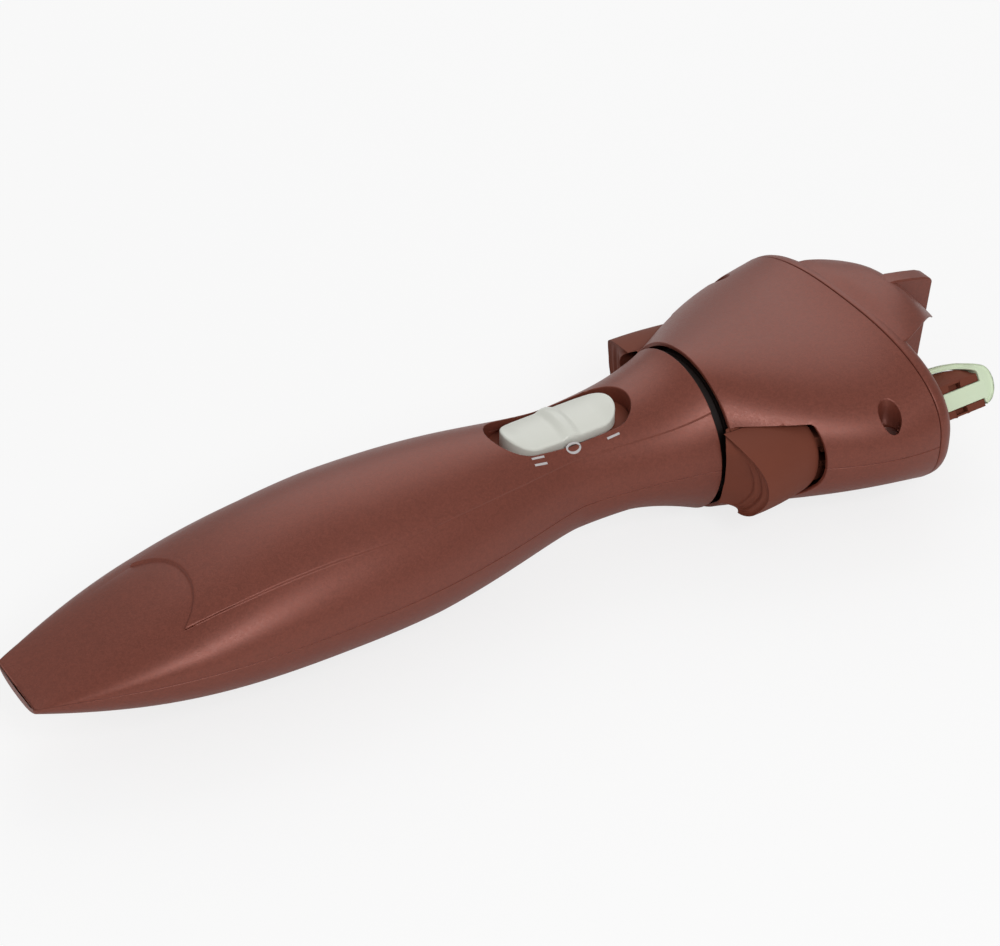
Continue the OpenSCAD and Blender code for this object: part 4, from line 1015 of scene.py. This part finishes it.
class BRAIDER_OT_hooks(bpy.types.Operator):
    """Model the blocks and the straps of the two hooks"""

    bl_idname = "braider.hooks"
    bl_label = "Hooks"

    def execute(self, context):
        table = finishes()
        line = smooth_line(STRAP_LINE, 110) + (NOSE_X, 0, NOSE_X, 0)
        for side, name in ((1, "left"), (-1, "right")):
            block = self.block(line)
            add_piece(f"hook_body_{name}", [(hook_points(p, side), f) for p, f in block], f"hook_{name}",
                      table["matte_brown"], [f"hook_block_{name}"], 0.15, 40, 2)
            strap = self.strap(line)
            add_piece(f"hook_strap_{name}", [(hook_points(p, side), f) for p, f in strap], f"gripper_{name}",
                      table["mint"], [f"hook_gripper_{name}"], 0.3, 40, 3)
        return {"FINISHED"}

    def block(self, line):
        """The two prongs and the sloping flank that the strap's band lies on."""
        top, slot, window = STRAP_FACE - 0.4, STRAP_FACE - STRAP_T - 0.1, 1.6
        slot_half, window_half = STRAP_HALF + 0.1, STRAP_HALF + 1.45
        stations = [BLOCK_X, *PRONG_GAP, BLOCK_END]
        parts = []
        for k, (from_x, to_x) in enumerate(zip(stations[:-1], stations[1:])):
            half, floor = (window_half, window) if k == 1 else (slot_half, slot)
            xs = np.linspace(from_x, to_x, 8)
            flare = np.interp(xs, line[:50, 2], line[:50, 3]) - 0.2
            section = np.array([[BLOCK_BACK, -BLOCK_HALF], [top, -BLOCK_HALF], [top, -half], [floor, -half],
                                [floor, half], [top, half], [top, BLOCK_HALF], [0, 0], [0, 0]])
            rings = np.broadcast_to(section, (len(xs),) + section.shape).copy()
            rings[:, 7] = np.stack([band_face(xs) - 0.3, np.maximum(flare, BLOCK_HALF + 0.1)], -1)
            rings[:, 8] = np.stack([0 * xs + BLOCK_BACK, np.maximum(flare, BLOCK_HALF + 0.1)], -1)
            points = np.concatenate([np.broadcast_to(xs[:, None, None], rings.shape[:2] + (1,)), rings], -1)
            parts.append(loop_solid(points))
        return parts

    def strap(self, line):
        """The leg on the hook's face, and the band along the flank, which widens into the cap round the hook's
        end."""
        leg = prism([[LEG_X, STRAP_FACE - STRAP_T], [BLOCK_END + 1.4, STRAP_FACE - STRAP_T],
                     [BLOCK_END + 1.4, STRAP_FACE], [LEG_X, STRAP_FACE]], -STRAP_HALF, STRAP_HALF)
        outer, inner = line[:, None, :2], line[:, None, 2:]
        high = (band_face(line[:, 0]) + (STRAP_FACE - 1.2) * ease(line[:, 0], NOSE_X + 14, NOSE_X + 19))[:, None]
        high[np.argmax(line[:, 0]):] = STRAP_FACE
        turn = np.linspace(0, math.pi / 2, 5)
        round_r = 0.6
        draw, fall = round_r * (1 - np.cos(turn)), round_r * (1 - np.sin(turn))
        inset = np.concatenate([draw[::-1], draw])
        size = np.linalg.norm(outer - inner, axis=-1, keepdims=True)
        rounded = outer + (inner - outer) * np.minimum(inset[None, :, None] / np.maximum(size, 1e-6), 0.45)
        n = np.concatenate([BLOCK_BACK + fall + 0 * high, high - fall[::-1]], 1)
        flat = np.concatenate([rounded, inner, inner], 1)
        n = np.concatenate([n, high, BLOCK_BACK + 0 * high], 1)
        return [leg, loop_solid(np.stack([flat[..., 0], n, flat[..., 1]], -1))]


LEVER_HALF_H = 10.2
LEVER_CREST = (HEAD_X + 1.3, 32.6)
LEVER_REAR_X, LEVER_REAR_R = HEAD_X - 2.6, RING_R + 1.1
LEVER_END_X, LEVER_FRONT = HEAD_X + 17.9, (HEAD_X + 17.7, 30.0)
LEVER_FALL = 5.4
LEVER_TOP_Z, LEVER_TOP_DROP = 6, 8
LEVER_FOOT_Z, LEVER_FOOT_DROP = -7.5, 3.5
RIDGES_FROM, RIDGES_TO, RIDGE_PITCH = 1.2, 6.2, 2.5


def rolled(past):
    """Fall of a quarter circle of radius 1 at a distance past its start."""
    return 1 - math.sqrt(1 - min(1, max(0, past)) ** 2)


def lever_section(z):
    """One level of a lever: from its inner rear corner along the inside, round the front end, along the outer face
    to the crest, and back down the scooped rear face, which carries ridges. Near the top and the foot the crest
    draws in under the skin as a quarter circle."""
    ridge = millimetres(settings()[0].ridge_height)
    drop = LEVER_TOP_DROP * rolled((z - LEVER_TOP_Z) / (LEVER_HALF_H - LEVER_TOP_Z))
    if z < 0:
        foot = LEVER_FOOT_DROP * rolled((LEVER_FOOT_Z - z) / (LEVER_HALF_H + LEVER_FOOT_Z))
        fall = LEVER_FALL * (abs(z + 0.8) / 11) ** 2.4 + 1.5 * float(ease(-z, 1, 8)) + foot
        rear_y = math.sqrt(LEVER_REAR_R ** 2 - z * z)
    else:
        fall = LEVER_FALL * (z / LEVER_HALF_H) ** 2.2 + drop
        rear_y = LEVER_REAR_R + 0.1 * z - 0.5 * drop
    crest = np.array([LEVER_CREST[0] - 0.0275 * (z + 1.6) ** 2, LEVER_CREST[1] - fall])
    rear = np.array([LEVER_REAR_X - 0.012 * (z + 1) ** 2 + 0.4 * drop + 1.2 * float(ease(-z, 4, LEVER_HALF_H)),
                     rear_y])
    front_x = LEVER_END_X - float(front_bow(z))
    front_y = LEVER_FRONT[1] - LEVER_FALL * (abs(z) / LEVER_HALF_H) ** 2.6 - 0.5 * drop
    slope = (front_y - crest[1]) / (LEVER_FRONT[0] - crest[0])
    outside = np.array([front_x, crest[1] + slope * (front_x - crest[0])])
    inside = np.array([front_x, min(outside[1] - 2.5, rear[1] + 3 - 0.5 * drop)])
    s = np.linspace(0, 1, 41)[:-1, None] ** 1.7
    edge = np.sqrt(1 - np.clip(1 - s * (front_x - crest[0]) / 1.5, 0, 1) ** 2)
    face = outside + (crest - outside) * s + np.array([0, 1]) * (2 * s * (1 - s) - (1 - edge))
    s = np.linspace(0, 1, 81)[:, None]
    far = s * np.linalg.norm(crest - rear)
    scoop = 1.5 * np.sin(math.pi * s ** 0.8)
    fade = float(ease(z, -LEVER_HALF_H, -8.5) * (1 - ease(z, 3.5, 7.5)))
    wave = 0.5 * ridge * fade * (1 - np.cos(2 * math.pi * (far - RIDGES_FROM) / RIDGE_PITCH))
    wave *= (far > RIDGES_FROM) & (far < RIDGES_TO)
    back = crest + (rear - crest) * s + np.array([1, 0]) * (scoop - wave)
    under = rear + (inside - rear) * np.linspace(0, 1, 7)[:-1, None]
    end = inside + (face[0] - inside) * np.linspace(0, 1, 5)[:-1, None]
    loop = np.concatenate([under, end, face, back[:-1]])
    return np.concatenate([loop, np.full((len(loop), 1), z)], 1)


def box_part(low, high):
    """A box between two opposite corners."""
    return prism([[low[0], low[1]], [high[0], low[1]], [high[0], high[1]], [low[0], high[1]]], low[2], high[2])


class BRAIDER_OT_levers(bpy.types.Operator):
    """Model the two thumb levers with their scooped, ridged rear faces and the arms to the grippers"""

    bl_idname = "braider.levers"
    bl_label = "Levers"

    def execute(self, context):
        level = LEVER_HALF_H * np.sin(np.linspace(-math.pi / 2, math.pi / 2, 65))
        solid = loop_solid(np.array([lever_section(z) for z in level]))
        arm_x, arm_in, arm_out, arm_h = HEAD_X + 16.1, 23.2, 27.6, 3
        fork_x, fork_end, fork_in, fork_half_h = HEAD_X + 20, HEAD_X + 22.8, 18.2, 6.2
        tine_in, tine_h = 24.7, 4.9
        arms = [box_part((arm_x, arm_in, z), (fork_end, arm_out, z + arm_h))
                for z in (-fork_half_h, fork_half_h - arm_h)]
        fork = [box_part((fork_x, fork_in, -fork_half_h), (fork_end, tine_in, fork_half_h))]
        fork += [box_part((fork_x, tine_in, z), (fork_end, arm_out, z + tine_h))
                 for z in (-fork_half_h, fork_half_h - tine_h)]
        parts = [solid] + arms + fork
        for name, turned in (("left", parts), ("right", [mirrored(part) for part in parts])):
            add_piece(f"thumb_lever_{name}", turned, f"lever_{name}", finishes()["matte_brown"],
                      [f"lever_{name}"], 0.12, 50, 2)
        return {"FINISHED"}


# The photograph's size and middle in pixels, and the place on the axis that the camera looks at.
PHOTO_W, PHOTO_H = 1000, 946
PHOTO_MIDDLE = (482.59, 502.01)
TARGET_X = 116.16
FLOOR_GLOW = 0.78


class BRAIDER_OT_stage(bpy.types.Operator):
    """Set the camera, the lamps, the sky and the floor"""

    bl_idname = "braider.stage"
    bl_label = "Stage"

    def execute(self, context):
        stage = settings()[2]
        self.camera(stage)
        self.floor(stage)
        self.sky(stage)
        middle = in_frame((RING_X, 0, 0))
        self.lamp("key_lamp", middle, (-0.17, -0.72, 0.66), 0.8, 0.30, stage.key)
        self.lamp("top_lamp", middle, (0.36, 0.64, 0.68), 0.9, 0.8, stage.top)
        self.lamp("fill_lamp", middle, (-0.9, -0.25, 0.5), 0.9, 0.5, stage.fill)
        context.scene.view_settings.view_transform = "Standard"
        return {"FINISHED"}

    def camera(self, stage):
        """The photograph's camera: its axes from azimuth and elevation, then turned by the roll."""
        az, el = stage.azimuth, stage.elevation
        back = np.array([-math.cos(az) * math.cos(el), -math.sin(az) * math.cos(el), math.sin(el)])
        right = np.array([math.sin(az), -math.cos(az), 0])
        up = np.cross(back, right)
        c, s = math.cos(stage.roll), math.sin(stage.roll)
        axes = np.stack([right * c - up * s, right * s + up * c, back], 1)
        place = in_frame((TARGET_X, 0, 0)) + back * stage.distance
        data = bpy.data.cameras.new("camera")
        data.sensor_fit = "HORIZONTAL"
        data.sensor_width = 36
        data.lens = stage.lens
        data.shift_x = (PHOTO_W / 2 - PHOTO_MIDDLE[0]) / PHOTO_W
        data.shift_y = (PHOTO_MIDDLE[1] - PHOTO_H / 2) / PHOTO_W
        data.clip_end = 20
        camera = bpy.data.objects.new("camera", data)
        bpy.context.scene.collection.objects.link(camera)
        camera.matrix_world = Matrix.Translation(Vector(place)) @ Matrix(axes.tolist()).to_4x4()
        bpy.context.scene.camera = camera

    def lamp(self, name, middle, towards, distance, size, power):
        """A square soft lamp that faces the middle of the object from a direction."""
        data = bpy.data.lights.new(name, "AREA")
        data.size = size
        data.energy = power
        lamp = bpy.data.objects.new(name, data)
        direction = Vector(towards).normalized()
        lamp.matrix_world = (Matrix.Translation(Vector(middle) + direction * distance)
                             @ direction.to_track_quat("Z", "Y").to_matrix().to_4x4())
        bpy.context.scene.collection.objects.link(lamp)

    def floor(self, stage):
        """A wide floor under the rest foot. For the camera it glows near white, and the object's shadow still shows
        on it."""
        half = 6.0
        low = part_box("head_lower_shell")[0][2]
        mesh = bpy.data.meshes.new("floor")
        mesh.from_pydata([(-half, -half, low), (half, -half, low), (half, half, low), (-half, half, low)], [],
                         [(0, 1, 2, 3)])
        floor = bpy.data.objects.new("floor", mesh)
        bpy.context.scene.collection.objects.link(floor)
        paint = Paint("floor")
        cloud = paint.noise(400)
        plain = paint.node("ShaderNodeBsdfDiffuse", {}, {
            "Color": paint.blend(cloud, shade(stage.floor, 0.995), stage.floor)})
        glow = paint.node("ShaderNodeEmission", {}, {"Color": (1, 1, 1, 1), "Strength": 1.0})
        path = paint.node("ShaderNodeLightPath")
        seen = Wire(paint, path.outputs["Is Camera Ray"]) * FLOOR_GLOW
        mixed = paint.node("ShaderNodeMixShader", {}, {0: seen, 1: plain.outputs[0], 2: glow.outputs[0]})
        paint.node("ShaderNodeOutputMaterial", {}, {"Surface": mixed.outputs[0]})
        mesh.materials.append(paint.material)

    def sky(self, stage):
        """White for the camera and in glass, and an even light for everything else."""
        world = bpy.data.worlds.new("sky")
        world.use_nodes = True
        graph = Graph(world.node_tree)
        path = graph.node("ShaderNodeLightPath").outputs
        seen = graph.node("ShaderNodeMath", {"operation": "MAXIMUM"},
                          {0: path["Is Camera Ray"], 1: path["Is Transmission Ray"]})
        white, even = (graph.node("ShaderNodeBackground", {}, {"Color": (1, 1, 1, 1), "Strength": strength})
                       for strength in (1.0, stage.sky))
        mixed = graph.node("ShaderNodeMixShader", {}, {0: seen.outputs[0], 1: even.outputs[0], 2: white.outputs[0]})
        graph.node("ShaderNodeOutputWorld", {}, {"Surface": mixed.outputs[0]})
        bpy.context.scene.world = world


GROUPS = {"braider_form": BraiderForm, "braider_finish": BraiderFinish, "braider_stage": BraiderStage}
OPERATORS = (
    BRAIDER_OT_stage, BRAIDER_OT_frame_finish, BRAIDER_OT_handle, BRAIDER_OT_battery_door, BRAIDER_OT_switch_marks,
    BRAIDER_OT_switch_button, BRAIDER_OT_head, BRAIDER_OT_nose, BRAIDER_OT_hooks, BRAIDER_OT_levers,
)


class BRAIDER_PT_panel(bpy.types.Panel):
    """Lists the braider's operators"""

    bl_idname = "BRAIDER_PT_panel"
    bl_label = "Hair braider"
    bl_space_type = "VIEW_3D"
    bl_region_type = "UI"
    bl_category = "Braider"

    def draw(self, context):
        for operator in OPERATORS:
            self.layout.operator(operator.bl_idname)
        for group in GROUPS:
            for key in getattr(context.scene, group).bl_rna.properties.keys():
                if key not in ("name", "rna_type"):
                    self.layout.prop(getattr(context.scene, group), key)


def register():
    for cls in (*GROUPS.values(), *OPERATORS, BRAIDER_PT_panel):
        bpy.utils.register_class(cls)
    for name, group in GROUPS.items():
        setattr(bpy.types.Scene, name, PointerProperty(type=group))


def unregister():
    for name in GROUPS:
        delattr(bpy.types.Scene, name)
    for cls in (BRAIDER_PT_panel, *reversed(OPERATORS), *reversed(list(GROUPS.values()))):
        bpy.utils.unregister_class(cls)


def main():
    register()
    for operator in OPERATORS:
        group, name = operator.bl_idname.split(".")
        getattr(getattr(bpy.ops, group), name)()


if __name__ == "__main__":
    main()
